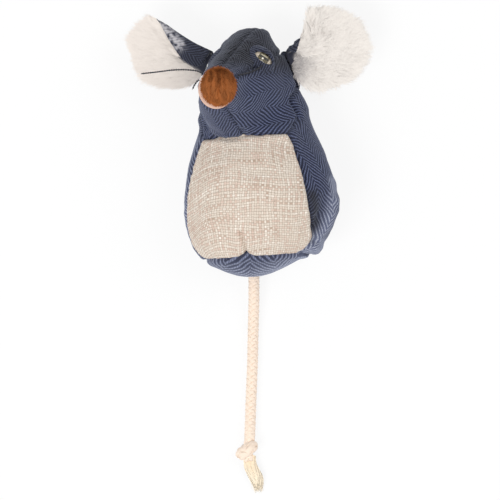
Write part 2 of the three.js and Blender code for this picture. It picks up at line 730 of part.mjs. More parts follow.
function tailGroup() {
  const lift = new THREE.Group();
  lift.position.copy(tailPivot);
  const rootEnd = vector(...tailRootEnd);
  const outward = rootEnd.clone().normalize();
  const ball = () => solidOf(new THREE.SphereGeometry(ropeRadius, ropeSides, ropeSides / 2));
  const swing = new THREE.Group();
  swing.position.copy(rootEnd).addScaledVector(outward, fitGap + ropeRadius);
  const route = tailRoute.map((point) => vector(...point));
  const end = route.at(-1);
  const knot = meshOf('tail_knot', knotSolid(), cotton);
  const floor = -(tailPivot.z + swing.position.z);
  knot.position.set(end.x + knotShift, end.y - fitGap - knotLength / 2, floor + knotWidth / 2);
  const fray = meshOf('tail_fray', fraySolid(), cotton);
  fray.position.set(knot.position.x, knot.position.y - fitGap - knotLength / 2, floor);
  swing.add(
    meshOf('tail_rope', solidOf(cordAlong(route, ropeDiameter, ropeSides, ropeSteps)).add(ball()), cotton),
    knot, fray,
  );
  const stub = solidOf(cordAlong([vector(), rootEnd], ropeDiameter, ropeSides, 1)).add(ball());
  return lift.add(meshOf('tail_root', stub, cotton), swing);
}

// Stuffing: a body and a head filling, with a pocket for the catnip pouch that a wad closes
const pouchCentre = vector(bodyMiddle.x, pouchStart, pouchHeightShare * bodyDepth);

function fillings() {
  const depth = clothThickness + stuffingGap;
  const bodyFill = solidOf(inset(bodyForm(stuffingSides, rowSteps), depth));
  const pocket = (radius, from, to) => solidOf(
    turnedPiece([[0, from], [radius, from], [radius, to], [0, to]], pouchSides)
      .translate(pouchCentre.x, 0, pouchCentre.z),
  );
  const pouchRoom = pouchDiameter / 2 + fitGap;
  const whole = pocket(pouchRoom, -bodyLength, pouchStart + pouchLength + fitGap);
  const wad = bodyFill.intersect(pocket(pouchRoom - stuffingGap, -bodyLength, pouchStart - fitGap));
  const headFill = solidOf(inset(headForm(stuffingSides, rowSteps), depth))
    .subtract(solidOf(inset(bodySkin, depth - stuffingGap))).subtract(washerPockets);
  return [
    meshOf('body_stuffing', bodyFill.subtract(whole).subtract(anchorRoom), filling),
    meshOf('base_wad', wad.subtract(anchorRoom), filling),
    meshOf('head_stuffing', headFill, filling),
  ];
}

// The pouch: a round bag gathered to a mouth, and the dried leaf in it
function pouchGroup() {
  const group = new THREE.Group();
  group.position.copy(pouchCentre);
  const [radius, mouth] = [pouchDiameter / 2, pouchMouthDiameter / 2];
  const side = (depth) => pouchSideShares.map(([width, height]) => [
    mouth + (radius - mouth) * width - depth, depth + height * (pouchLength - depth),
  ]);
  const bag = [[0, 0], ...side(0), ...side(pouchWall).toReversed(), [0, pouchWall]];
  const leafDepth = pouchWall + fitGap;
  const leafSide = side(leafDepth).slice(0, -1);
  const leaf = [[0, leafDepth], ...leafSide, [0, leafSide.at(-1)[1]]];
  return group.add(
    meshOf('catnip_pouch', solidOf(turnedPiece(bag, pouchSides)), muslin),
    meshOf('catnip_leaf', solidOf(turnedPiece(leaf, pouchSides)), herb),
  );
}

// The whole toy, moved so that the middle of its base box is the origin, without the tail
const toy = new THREE.Group();
toy.add(
  ...bodyPanels(), ...headPanels(), nosePatch(), eyeGroup(rightEye, 'right'), eyeGroup(leftEye, 'left'),
  earGroup(leftEar, 'left'), earGroup(rightEar, 'right'),
  whisker('left_long_whisker', longWhisker, longWhiskerShares),
  whisker('left_short_whisker', shortWhisker, shortWhiskerShares), lyingWhisker(),
  ...fillings(), pouchGroup(), meshOf('tail_anchor', anchorOf(0), cotton),
);
const box = new THREE.Box3().setFromObject(toy, true);
toy.add(tailGroup());
toy.position.set(-(box.min.x + box.max.x) / 2, -(box.min.y + box.max.y) / 2, -box.min.z);

export default toy;
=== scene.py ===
# %% [markdown]
# # A stuffed catnip mouse, seen from straight above
#
# The toy lies on its back: tweed panels sewn over a filling, a linen belly, pile-lined ears, a plush nose and a rope
# tail. The imported CAD model is the frame. Each piece below is made where the frame says, and most ride on one of its
# bodies, so they move as the real pieces do.

# %% Load the frame
import json
import math

import bmesh
import bpy
import numpy as np
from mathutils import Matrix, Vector, noise
from mathutils.bvhtree import BVHTree


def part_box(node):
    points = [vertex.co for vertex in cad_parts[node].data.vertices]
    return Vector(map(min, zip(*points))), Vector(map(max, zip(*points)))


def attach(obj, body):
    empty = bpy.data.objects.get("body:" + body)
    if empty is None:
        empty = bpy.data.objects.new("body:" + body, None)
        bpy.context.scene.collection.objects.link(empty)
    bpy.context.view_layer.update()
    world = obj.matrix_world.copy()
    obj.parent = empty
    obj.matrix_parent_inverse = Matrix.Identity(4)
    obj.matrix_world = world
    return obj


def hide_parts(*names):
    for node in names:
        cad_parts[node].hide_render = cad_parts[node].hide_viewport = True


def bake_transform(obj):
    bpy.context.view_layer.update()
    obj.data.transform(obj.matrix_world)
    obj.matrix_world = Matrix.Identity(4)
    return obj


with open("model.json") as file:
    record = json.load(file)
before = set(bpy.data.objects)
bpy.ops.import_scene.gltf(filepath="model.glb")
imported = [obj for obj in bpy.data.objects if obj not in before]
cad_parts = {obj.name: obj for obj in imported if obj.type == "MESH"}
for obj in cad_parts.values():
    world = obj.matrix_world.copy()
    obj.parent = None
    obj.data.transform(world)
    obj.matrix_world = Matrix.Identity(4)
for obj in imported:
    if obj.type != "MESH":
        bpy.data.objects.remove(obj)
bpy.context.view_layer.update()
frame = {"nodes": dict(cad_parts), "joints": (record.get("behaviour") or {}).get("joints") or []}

MM = 0.001

# %% [markdown]
# ## The camera
#
# The photograph looks straight down, and a picture element of it is 0.44 mm on the toy. A camera far away
# with a long lens keeps the nose, which stands 69 mm above the table, from growing towards the edges.

# %% Camera
PICTURE = 500
MM_PER_PIXEL = 0.44
DISTANCE = 3.5  # metres
VIEW_MIDDLE = Vector((0.99, -47.27, 30)) * MM

camera_data = bpy.data.cameras.new("camera")
camera_data.sensor_width = 36
camera_data.lens = camera_data.sensor_width * DISTANCE / (PICTURE * MM_PER_PIXEL * MM)
camera = bpy.data.objects.new("camera", camera_data)
camera.location = VIEW_MIDDLE + Vector((0, 0, DISTANCE))
bpy.context.collection.objects.link(camera)
bpy.context.scene.camera = camera
print("lens", round(camera_data.lens), "mm")

# %% [markdown]
# ## Helpers
#
# A piece is a mesh from points and faces. Points are worked out in millimetres with numpy, because the toy
# is small and its sizes are whole millimetres there, and they turn to metres when the mesh is made.
# Numbers that a material reads, such as where a thread runs, are stored on the points.

# %% Mesh helpers
def store(piece, key, values):
    """Numbers, or vectors, for each point of a mesh, under a name that its material reads"""
    values = np.asarray(values, np.float32)
    kind, field = ("FLOAT", "value") if values.ndim == 1 else ("FLOAT_VECTOR", "vector")
    piece.data.attributes.new(key, kind, "POINT").data.foreach_set(field, values.ravel())


def piece_of(name, points, faces, **numbers):
    """A smooth mesh object from points in mm and faces; numbers holds values or vectors for each point"""
    mesh = bpy.data.meshes.new(name)
    mesh.from_pydata((np.asarray(points, float) * MM).tolist(), [], [list(map(int, f)) for f in faces])
    mesh.polygons.foreach_set("use_smooth", np.ones(len(mesh.polygons), bool))
    piece = bpy.data.objects.new(name, mesh)
    bpy.context.collection.objects.link(piece)
    for key, values in numbers.items():
        store(piece, key, values)
    return piece


def read(mesh, key, width=3):
    """The numbers stored for each point of a mesh; under "co" its places, in mm"""
    values = np.zeros(len(mesh.vertices) * width, np.float32)
    if key == "co":
        mesh.vertices.foreach_get("co", values)
        return values.reshape(-1, 3) / MM
    mesh.attributes[key].data.foreach_get("value" if width == 1 else "vector", values)
    return values if width == 1 else values.reshape(-1, width)


def unit(vectors):
    """Vectors with their length made 1"""
    vectors = np.asarray(vectors, float)
    return vectors / np.maximum(np.linalg.norm(vectors, axis=-1, keepdims=True), 1e-9)


def length_of(line):
    return float(np.linalg.norm(np.diff(line, axis=0), axis=1).sum())


def uneven(points, scale, shift=0.0):
    """A smooth random number from -1 to 1 for each point"""
    return np.array([noise.noise(place) for place in np.asarray(points, float) * scale + shift])


def cad_mesh(*names):
    """The points in mm and triangles of CAD nodes, with doubled points joined"""
    made = bmesh.new()
    for name in names:
        made.from_mesh(frame["nodes"][name].data)
    bmesh.ops.remove_doubles(made, verts=made.verts, dist=1e-7)
    bmesh.ops.triangulate(made, faces=made.faces)
    made.verts.ensure_lookup_table()
    points = np.array([v.co[:] for v in made.verts]) / MM
    faces = np.array([[v.index for v in f.verts] for f in made.faces])
    made.free()
    return points, faces


def cad_corners(name):
    """The lowest and the highest corner of a CAD node's box, in mm"""
    return [np.array(corner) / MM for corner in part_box(name)]


def modified(piece):
    """The piece's mesh with its modifiers applied"""
    bpy.context.view_layer.update()
    made = bpy.data.meshes.new_from_object(piece.evaluated_get(bpy.context.evaluated_depsgraph_get()))
    piece.modifiers.clear()
    piece.data = made
    return made


def thicken(piece, thickness):
    """Cloth of a thickness in mm, grown inwards from a surface"""
    grown = piece.modifiers.new("cloth", "SOLIDIFY")
    grown.thickness, grown.offset = thickness * MM, -1


def normals_of(points, faces):
    """Outward directions of a mesh's points"""
    faces = np.asarray(faces)
    corners = [points[faces[:, k]] for k in range(faces.shape[1])]
    across = np.cross(corners[2] - corners[0], corners[-1] - corners[1])
    total = np.zeros_like(points)
    for k in range(faces.shape[1]):
        np.add.at(total, faces[:, k], across)
    return unit(total)


def tube_faces(rings, sides, first=0, capped=True):
    """The faces of a tube whose points come ring after ring"""
    start = first + np.arange(rings - 1)[:, None] * sides
    a, b = start + np.arange(sides), start + (np.arange(sides) + 1) % sides
    faces = np.stack([a, b, b + sides, a + sides], axis=-1).reshape(-1, 4).tolist()
    if capped:
        last = first + (rings - 1) * sides
        faces += [list(range(first, first + sides))[::-1], list(range(last, last + sides))]
    return faces


def turned(name, outline, at, axis, sides=64, stretch=(1, 1, 1)):
    """A round piece from radius and height pairs, standing along an axis at a place, in mm"""
    axis = unit(axis)
    side = unit(np.cross(axis, (0.3, 1, 0.2)))
    up = np.cross(axis, side)
    ring = np.arange(sides) / sides * 2 * np.pi
    rings = [h * axis + r * (np.cos(ring)[:, None] * side + np.sin(ring)[:, None] * up) for r, h in outline]
    return piece_of(name, at + np.vstack(rings) * np.array(stretch), tube_faces(len(outline), sides))


print("one unit of the points is", MM, "m")

# %% [markdown]
# ## Materials
#
# Every material is made of nodes. Colours are written as they look on a screen, and one function turns
# them to the linear numbers that a shader wants. One function adds a node, with its settings and links,
# and a few short ones add the kinds that come up again and again.

# %% Material helpers
def linear(code):
    """A colour written as sRGB hex, as linear red, green, blue and alpha"""
    parts = [int(code[i:i + 2], 16) / 255 for i in (1, 3, 5)]
    return tuple(p / 12.92 if p <= 0.04045 else ((p + 0.055) / 1.055) ** 2.4 for p in parts) + (1.0,)


def add(tree, kind, inputs=(), **settings):
    """Adds a node. inputs gives its sockets a value, or a node or socket to read"""
    made = tree.nodes.new("ShaderNode" + kind)
    for key, value in settings.items():
        setattr(made, key, value)
    for socket, source in dict(inputs).items():
        source = source.outputs[0] if isinstance(source, bpy.types.Node) else source
        if isinstance(source, bpy.types.NodeSocket):
            tree.links.new(source, made.inputs[socket])
        else:
            made.inputs[socket].default_value = source
    return made


def stored(tree, key, socket="Vector"):
    """What a piece stores on its points: a Vector, or a number, which is read as Fac"""
    return add(tree, "Attribute", attribute_name=key).outputs[socket]


def maths(tree, operation, *values, **settings):
    return add(tree, "Math", dict(enumerate(values)), operation=operation, **settings)


def moved(tree, operation, vector, amount):
    """A vector scaled by a number, or with another added or subtracted"""
    socket = "Scale" if operation == "SCALE" else 1
    return add(tree, "VectorMath", {0: vector, socket: amount}, operation=operation)


def mix(tree, share, low, high):
    """The colour at a share of the way between two, each a code or a socket"""
    low, high = (linear(colour) if isinstance(colour, str) else colour for colour in (low, high))
    return add(tree, "Mix", {0: share, 6: low, 7: high}, data_type="RGBA").outputs[2]


def mapped(tree, value, start, end, low=0.0, high=1.0, kind="LINEAR"):
    """A value between start and end, taken to between low and high"""
    return add(tree, "MapRange", {0: value, 1: start, 2: end, 3: low, 4: high}, interpolation_type=kind)


def cloudy(tree, place, scale, detail=2.0, roughness=0.5):
    return add(tree, "TexNoise", {"Vector": place, "Scale": scale, "Detail": detail, "Roughness": roughness})


def new_material(name):
    """An empty node material: the material, its tree and its output's socket"""
    material = bpy.data.materials.new(name)
    material.use_nodes = True
    material.node_tree.nodes.clear()
    return material, material.node_tree, add(material.node_tree, "OutputMaterial").inputs["Surface"]


def surface(tree, output, colour, roughness, relief, **more):
    """An opaque surface. relief is what it is raised by, how strongly, and by how many metres"""
    height, strength, distance = relief
    bump = add(tree, "Bump", {"Height": height, "Strength": strength, "Distance": distance})
    more = {key.replace("_", " "): value for key, value in more.items()}
    shader = add(tree, "BsdfPrincipled", {"Base Color": colour, "Roughness": roughness, "Normal": bump, **more})
    tree.links.new(shader.outputs[0], output)


def mottled(name, scale, detail, low, high, roughness, strength, distance, run=False, distortion=0.0, **more):
    """A material whose colour and relief both follow one noise, over the object or along a thread's run"""
    material, tree, output = new_material(name)
    place = stored(tree, "run") if run else add(tree, "TexCoord").outputs["Object"]
    clouds = cloudy(tree, place, scale, detail)
    clouds.inputs["Distortion"].default_value = distortion
    surface(tree, output, mix(tree, clouds, low, high), roughness, (clouds, strength, distance), **more)
    return material


def dress(piece, material, body=None):
    """Gives a piece its material, and the body that it rides on"""
    piece.data.materials.clear()
    piece.data.materials.append(material)
    if body:
        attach(piece, body)


print("the screen's grey #808080 is", round(linear("#808080")[0], 3), "in linear light")

# %% [markdown]
# ## The tail rope
#
# The tail is a soft cotton rope, 4.8 mm thick, braided from eight strands: four wind one way round and
# four the other, and each goes over one and under the next. It leaves the base through its seam, comes
# down to the table within its first 20 mm, and lies almost straight to a knot. The whole length shows, so
# nothing of it is hidden away. The route is that of the CAD rope, from the hinge at its root.

# %% The rope's route
ROPE = 4.8  # mm thick
hinges = {joint["name"]: np.array(joint["pos_m"]) / MM for joint in frame["joints"]}
lift_at, swing_at = hinges["tail_lift"], hinges["tail_swing"]
TAIL_ROUTE = [  # mm from the hinge that swings
    (0, -4, -1.1), (-.1, -8, -2.2), (-.2, -12, -3.1), (-.3, -16, -3.7), (-.4, -21, -4), (-.5, -26, -4),
    (-.6, -31, -4), (-.8, -36, -4), (-1, -41, -4), (-1.2, -46, -4), (-1.4, -51, -4), (-1.5, -55.5, -3.9),
    (-1.7, -60, -3.3), (-1.9, -65, -2.9),
]


def smooth_line(points, count):
    """Evenly spaced points on a smooth curve through points"""
    points = np.asarray(points, float)
    ends = np.vstack([2 * points[0] - points[1], points, 2 * points[-1] - points[-2]])
    fine = []
    for i in range(1, len(ends) - 2):
        a, b, c, d = ends[i - 1:i + 3]
        t = np.linspace(0, 1, 24, endpoint=False)[:, None]
        fine.append(0.5 * (2 * b + (c - a) * t + (2 * a - 5 * b + 4 * c - d) * t ** 2
                           + (3 * b - a - 3 * c + d) * t ** 3))
    fine = np.vstack(fine + [points[-1:]])
    along = np.concatenate([[0], np.cumsum(np.linalg.norm(np.diff(fine, axis=0), axis=1))])
    wanted = np.linspace(0, along[-1], count)
    return np.stack([np.interp(wanted, along, fine[:, k]) for k in range(3)], axis=1)


rope_line = smooth_line([lift_at, swing_at] + [swing_at + np.array(p) for p in TAIL_ROUTE], 36)

# %% [markdown]
# A braid is made strand by strand. A strand's middle winds round the rope's own middle line, and its
# distance from it rises and falls as it goes over and under. The strand itself is a soft oval tube, a
# little flatter than wide, that carries the turn of its yarns as shallow ridges.

# %% Braided rope
STRAND_AT = 1.56  # mm from the middle of a rope that is 4.8 mm thick
STRAND_HALF, CORE_HALF = (1.2, 0.62), (1.62, 1.62)  # mm; half of what they are wide and thick


def sideways(line, hint):
    """Directions to the side of a line, near a hinted one, and up from it, for each of its points"""
    ahead, hint = unit(np.gradient(line, axis=0)), np.asarray(hint, float)
    side = unit(hint - (ahead @ hint)[:, None] * ahead)
    return side, np.cross(ahead, side)


def braid(line, width, turn_length=11.0, seed=1, hint=(1, 0, 0), weave=0.26):
    """Points, faces and stored numbers of eight braided strands and a core along a line, in mm"""
    length = length_of(line)
    steps = max(8, int(length / turn_length * 26))
    fine = smooth_line(line, steps + 1)
    side, up = sideways(fine, hint)
    along = np.linspace(0, length, steps + 1)
    rng = np.random.default_rng(seed)
    scale, sides = width / ROPE, 10
    points, faces, runs, shades = [], [], [], []
    ring = np.arange(sides) / sides * 2 * np.pi
    for strand in range(9):
        core, odd = strand == 8, strand % 2
        turn = (1 if odd else -1) * 2 * np.pi * along / turn_length + (strand // 2) * math.pi / 2
        lift = (not core) * (STRAND_AT + weave * np.cos(4 * np.pi * 2 * along / turn_length + odd * np.pi))
        out = np.cos(turn)[:, None] * side + np.sin(turn)[:, None] * up
        round_it = -np.sin(turn)[:, None] * side + np.cos(turn)[:, None] * up
        middle = fine + out * (lift * scale)[:, None]
        run = unit(np.gradient(middle, axis=0))
        wide = unit(round_it - (round_it * run).sum(1)[:, None] * run)
        thick = np.cross(run, wide)
        half_wide, half_thick = CORE_HALF if core else STRAND_HALF
        yarn = 1 + 0.05 * np.cos(3 * (ring[None, :] + 5 * along[:, None] / width))
        loop = middle[:, None, :] + scale * yarn[..., None] * (
            half_wide * np.cos(ring)[None, :, None] * wide[:, None, :]
            + half_thick * np.sin(ring)[None, :, None] * thick[:, None, :])
        points.append(loop.reshape(-1, 3))
        runs.append(np.stack([np.repeat(along, sides), np.tile(ring, steps + 1) * half_wide,
                              np.full((steps + 1) * sides, strand * 3.7)], axis=1))
        # painted shade: this number is high near a strand's sides, where the grooves between strands are, and the
        # cotton is drawn darker there
        shades.append(np.tile(np.abs(np.cos(ring)) ** 3, steps + 1) * (0.7 + 0.3 * rng.random()))
        faces += tube_faces(steps + 1, sides, strand * (steps + 1) * sides)
    return np.vstack(points), faces, np.vstack(runs), np.concatenate(shades)


def roped(name, braids):
    """One piece from one or more braids"""
    faces, count = [], 0
    for points, own_faces, _, _ in braids:
        faces += [[i + count for i in face] for face in own_faces]
        count += len(points)
    return piece_of(name, np.vstack([b[0] for b in braids]), faces, run=np.vstack([b[2] for b in braids]),
                    shade=np.concatenate([b[3] for b in braids]))


inward = unit(rope_line[0] - rope_line[2])
tail_rope = roped("braided_tail_rope", [braid(np.vstack([lift_at + 0.9 * inward, rope_line]), 1.04 * ROPE)])
sewn_line = lift_at + np.array([[8.0], [5.5], [3.0], [0.5], [-0.6]]) * inward
sewn_rope = roped("sewn_in_rope_end", [braid(sewn_line, 1.03 * ROPE, seed=4)])
print("tail rope", len(tail_rope.data.polygons), "faces")

# %% [markdown]
# ### Cotton
#
# Undyed cotton is a warm pale cream and quite dull. Its yarns are soft, so light catches their fuzz at the edges,
# which sheen gives, and painted shade makes the grooves between the strands a little darker.

# %% Cotton rope material
YARN = 0.45  # mm across one yarn of a strand
cotton, tree, output = new_material("cotton_rope_undyed_braided")
run = stored(tree, "run")
fibres = cloudy(tree, add(tree, "Mapping", {"Vector": run, "Scale": (0.35 / YARN, 1 / YARN, 1)}), 1.0, 4.0, 0.65)
tone = mix(tree, fibres, "#EAD6C0", "#FFF3E4")
tone = mix(tree, cloudy(tree, run, 0.22), tone, "#FBE4D2")
# painted shade: the grooves between strands are drawn darker
tone = mix(tree, mapped(tree, stored(tree, "shade", "Fac"), 0.25, 1.0, 0.0, 0.5), tone, "#CDB093")
surface(tree, output, tone, 0.9, (fibres, 0.5, 0.00012), Sheen_Weight=0.3, Sheen_Roughness=0.5)
print("cotton material", len(tree.nodes), "nodes")

# %% [markdown]
# ### The knot
#
# An overhand knot keeps the braid from coming apart. Its rope runs down through the middle, and a loop of
# it goes round that, slanting from the upper right to the lower left. Both are braids like the tail.

# %% Knot
KNOT_ROPE = 5.7  # mm thick, as the strands of the loop spread a little
knot_low, knot_high = cad_corners("tail_knot")
knot_at = (knot_low + knot_high) / 2
turns = np.linspace(0, 1, 60)[:, None]
angle = np.pi * (1.45 - 1.9 * turns)
wrap_line = knot_at + np.hstack([
    2.3 * np.cos(angle) - 0.3, 1.9 * np.cos(angle) + 0.7 - 0.7 * turns, 2.1 * np.sin(angle) + 0.2])
core_line = np.vstack([rope_line[-4:], knot_at + np.array([(0, 0, -.4), (.3, -2.4, -.8), (0.6, -3.7, -1.3)])])
tail_knot = roped("overhand_knot", [
    braid(smooth_line(core_line, 30), 1.04 * ROPE, 13.0, seed=2, weave=0.15),
    braid(wrap_line, KNOT_ROPE, 17.0, seed=3, hint=(0, 1, 0), weave=0.22)])
dress(tail_knot, cotton, "tail")
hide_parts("tail_knot")
print("knot", (knot_high - knot_low).round(1), "mm")

# %% [markdown]
# ### Fibres
#
# Fur, plush and a frayed rope are all made of many thin fibres. One function draws them as narrow tapering
# ribbons, in one mesh: real geometry that catches light and breaks up an outline, and light enough to
# draw by the thousand. Fibres near each other lean towards a common tip, as real ones clump. Their
# material scatters light as the cloth under them would, and lets some of it through.

# %% Fibres
def ribbons(name, line, width, normals, rng, taper=0.7, own=0.5, grey=0.0, twist=0.5):
    """One mesh of narrow tapering ribbons along lines of points, in mm"""
    count, each = line.shape[:2]
    t = np.linspace(0, 1, each)[None, :, None]
    along = unit(np.gradient(line, axis=1))
    normals = normals if normals.ndim == 3 else np.repeat(normals[:, None], each, axis=1)
    flat = unit(np.cross(along, normals + twist * rng.normal(size=(count, 1, 3))))
    half = 0.5 * width * rng.uniform(0.7, 1.3, (count, 1, 1)) * (1 - t * taper) * (1 - 0.85 * t ** 6)
    points = np.stack([line - flat * half, line + flat * half], axis=2).reshape(-1, 3)
    first = np.arange(count)[:, None] * 2 * each + 2 * np.arange(each - 1)[None, :]
    faces = np.stack([first, first + 1, first + 3, first + 2], axis=-1).reshape(-1, 4).tolist()
    return piece_of(name, points, faces, tip=np.repeat(np.tile(t.ravel(), count), 2),
                    shade=np.repeat(own + np.zeros(count), 2 * each),
                    up=np.repeat(normals.reshape(-1, 3), 2, axis=0),
                    grey=np.repeat(grey + np.zeros(count), 2 * each))


def fibres_of(name, roots, ways, normals, lengths, width, bend, steps, clump, clumps, seed,
              grey=0.0, nearness=(1, 1, 1), apart=0.25, sway=0.0):
    """Ribbons from roots along ways, bending by a vector, in mm; nearby tips draw together by clump"""
    rng = np.random.default_rng(seed)
    count = len(roots)
    middles = rng.choice(count, min(clumps, count), replace=False)
    nearest = np.empty(count, int)
    swayed = roots + sway
    for start in range(0, count, 2000):
        gap = np.linalg.norm((swayed[start:start + 2000, None] - swayed[None, middles]) * nearness, axis=2)
        nearest[start:start + 2000] = middles[gap.argmin(1)]
    t = np.linspace(0, 1, steps + 1)[None, :, None]
    line = roots[:, None] + lengths[:, None, None] * (ways[:, None] * t + bend[:, None] * t ** 2)
    goal = line[nearest] + (roots - roots[nearest])[:, None] * np.array(apart)
    pull = (clump + np.zeros(count))[:, None, None] * t ** 1.6
    line = line * (1 - pull) + goal * pull
    own = 0.35 * rng.random(count) + 0.65 * rng.random(count)[nearest]
    return ribbons(name, line, width, normals, rng, own=own, grey=grey)


def fibre_material(name, deep_shade, root, end, through, open_to, ends=0.75):
    """Fine fibres: a root colour, painted darker towards a deep colour at their feet for shade by the amount each
    stores, and grey where they store painted root shade, going to an end colour, with some light passing through
    """
    material, tree, output = new_material(name)
    up = add(tree, "VectorTransform", {0: stored(tree, "up")}, vector_type="NORMAL",
             convert_from="OBJECT", convert_to="WORLD")
    # painted shade: at a fibre's foot its colour goes towards the deep one, by its stored amount; towards its tip the
    # end colour takes over
    tone = mix(tree, stored(tree, "shade", "Fac"), deep_shade, root)
    tone = mix(tree, mapped(tree, stored(tree, "tip", "Fac"), 0.0, 0.7, 0.0, ends), tone, end)
    # painted shade: grey near an ear's root
    tone = mix(tree, stored(tree, "grey", "Fac"), tone, "#77737A")
    scatter = add(tree, "BsdfDiffuse", {"Color": tone, "Normal": up})
    passed = add(tree, "BsdfTranslucent", {"Color": tone})
    both = add(tree, "MixShader", {0: through, 1: scatter, 2: passed})
    path = add(tree, "LightPath").outputs
    thin = maths(tree, "MAXIMUM", path["Is Shadow Ray"], path["Is Diffuse Ray"])
    thin = maths(tree, "MULTIPLY", thin, open_to)
    seen = add(tree, "MixShader", {0: thin, 1: both, 2: add(tree, "BsdfTransparent")})
    tree.links.new(seen.outputs[0], output)
    return material


loose_cotton = fibre_material("cotton_fibres_untwisted", "#F9DFBC", "#FFEFD6", "#FFF3DD", 0.05, 0.0)
print("fibre material", len(loose_cotton.node_tree.nodes), "nodes")

# %% [markdown]
# ### The frayed end
#
# Below the knot the rope's strands come loose into two tufts that twist past each other. Loose cotton
# fibres are the same colour as the braid, but a little paler and warmer. Each one faces out from its tuft.

# %% Frayed end
FRAY_FIBRES = 420
TUFTS = [  # mm from where the fray starts
    [(0.3, 3.2, 4.3), (0.4, -0.6, 3.4), (1.2, -4.0, 2.4), (2.6, -7.0, 1.8), (4.1, -10.2, 1.4), (4.6, -13.2, 1.2)],
    [(1.3, 3.0, 4.2), (1.8, -0.6, 3.4), (3.3, -3.4, 2.6), (4.8, -6.4, 2.1), (5.2, -9.6, 1.6), (5.1, -13.0, 1.2)],
]
TUFT_STEPS = 13
fray_start = np.array([knot_at[0], cad_corners("tail_fray")[1][1], 0.0])
rng = np.random.default_rng(11)
tuft = rng.integers(0, 2, FRAY_FIBRES)
centre = np.stack([smooth_line(fray_start + np.array(line), TUFT_STEPS) for line in TUFTS])[tuft]
share = np.linspace(0, 1, TUFT_STEPS)[None, :]
around = rng.random((FRAY_FIBRES, 1)) * 2 * np.pi + 2.4 * share * np.where(tuft, 1, -1)[:, None]
apart = np.sqrt(rng.random((FRAY_FIBRES, 1))) * (2.1 - 0.2 * share)
stray = 0.5 * rng.normal(size=(FRAY_FIBRES, 3))[:, None] * share[..., None] ** 2
line = centre + np.stack([apart * np.cos(around), 0.25 * apart * np.sin(around),
                          0.6 * apart * np.sin(around)], axis=2) + stray
line[..., 2] = np.maximum(line[..., 2], 0.15)  # clear of the table
ends = rng.uniform(0.72, 1.0, FRAY_FIBRES) * (TUFT_STEPS - 1)


def cut_short(values):
    """Each fibre's numbers up to where it ends, at eleven even steps"""
    return np.stack([np.interp(np.linspace(0, end, 11), np.arange(TUFT_STEPS), own) for end, own in zip(ends, values)])


line = np.stack([cut_short(line[..., axis]) for axis in range(3)], axis=2)
angles = cut_short(around)
outwards = unit(np.stack([np.cos(angles), 0 * angles, np.sin(angles) + 1.2], axis=2))
tail_fray = ribbons("frayed_rope_end", line, 0.5, outwards, rng, taper=0.3, twist=0.4,
                    own=0.4 * rng.random(FRAY_FIBRES) + 0.6 * (0.5 + 0.5 * np.cos(around[:, 0] * 2)))
dress(tail_fray, loose_cotton, "tail")
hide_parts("tail_fray")
print("fray", FRAY_FIBRES, "fibres")

# %% [markdown]
# The stretch that is sewn in rides on the body. The tail's own braid goes from the hinge that lifts to the one that
# swings, over the 8 mm between its two bodies, where a real rope bends; it gets its material and rides on no body.

# %% Rope on its bodies
dress(sewn_rope, cotton, "stuffed_body")
dress(tail_rope, cotton)
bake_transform(tail_rope)
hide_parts("tail_root", "tail_rope")
print("rope leaves at", lift_at.round(1), "and swings at", swing_at.round(1))

# %% [markdown]
# ## The skin
#
# The toy's outside is eight cloth panels, cut flat and sewn edge to edge, turned right side out and
# stuffed. The filling pushes each panel outwards, and each seam pulls it in. One way is to make each
# panel alone, but then their edges would have to be matched. It is simpler to start from the whole skin:
# swell the CAD panels by a third of a millimetre so that the seams close, remesh them to one skin, take
# the swelling back, and smooth it. The seams are then found again as the places between two CAD panels.
# A ball behind each eye fills the hole that its post goes through.

# %% One smooth skin
PANELS = ["base_panel", "belly_panel", "left_side_panel", "right_side_panel", "left_forehead_panel",
          "right_forehead_panel", "left_cheek_panel", "right_cheek_panel"]
SWELL, VOXEL = 0.36, 0.9  # mm
PLUG_RADIUS, PLUG_DEPTH = 3.4, 5.6  # mm


def edges_of(faces):
    """The edges of a list of faces, as pairs of point numbers, each once"""
    pairs = np.vstack([np.stack([faces[:, k], faces[:, (k + 1) % faces.shape[1]]], axis=1)
                       for k in range(faces.shape[1])])
    return np.unique(np.sort(pairs, axis=1), axis=0)


def groups_of(count, pairs):
    """A group number for each point, joined by the pairs"""
    group = np.arange(count)
    while True:
        low = np.minimum(group[pairs[:, 0]], group[pairs[:, 1]])
        new = group.copy()
        np.minimum.at(new, pairs[:, 0], low)
        np.minimum.at(new, pairs[:, 1], low)
        new = new[new]
        if (new == group).all():
            return group
        group = new


def averaged(values, pairs, rounds):
    """Values moved halfway to the mean of their neighbours a few times"""
    near = np.bincount(pairs.ravel(), minlength=len(values)).astype(float)
    values = values.astype(float).copy()
    for _ in range(rounds):
        total = np.zeros_like(values)
        np.add.at(total, pairs[:, 0], values[pairs[:, 1]])
        np.add.at(total, pairs[:, 1], values[pairs[:, 0]])
        mean = total / (near if values.ndim == 1 else near[:, None])
        values = values + 0.5 * (mean - values)
    return values


def smoothed(points, faces, rounds, back):
    """Points averaged without shrinking: each round goes back by a little more than it came"""
    pairs = edges_of(faces)
    for _ in range(rounds):
        points = averaged(points, pairs, 1)
        points = points + back * (points - averaged(points, pairs, 1))
    return points


def remeshed(piece, voxel):
    """A piece as one fine closed mesh, and the piece itself removed: points in mm and faces"""
    finer = piece.modifiers.new("remesh", "REMESH")
    finer.mode, finer.voxel_size = "VOXEL", voxel * MM
    mesh = modified(piece)
    points, faces = read(mesh, "co"), np.array([f.vertices[:] for f in mesh.polygons])
    bpy.data.objects.remove(piece)
    return points, faces


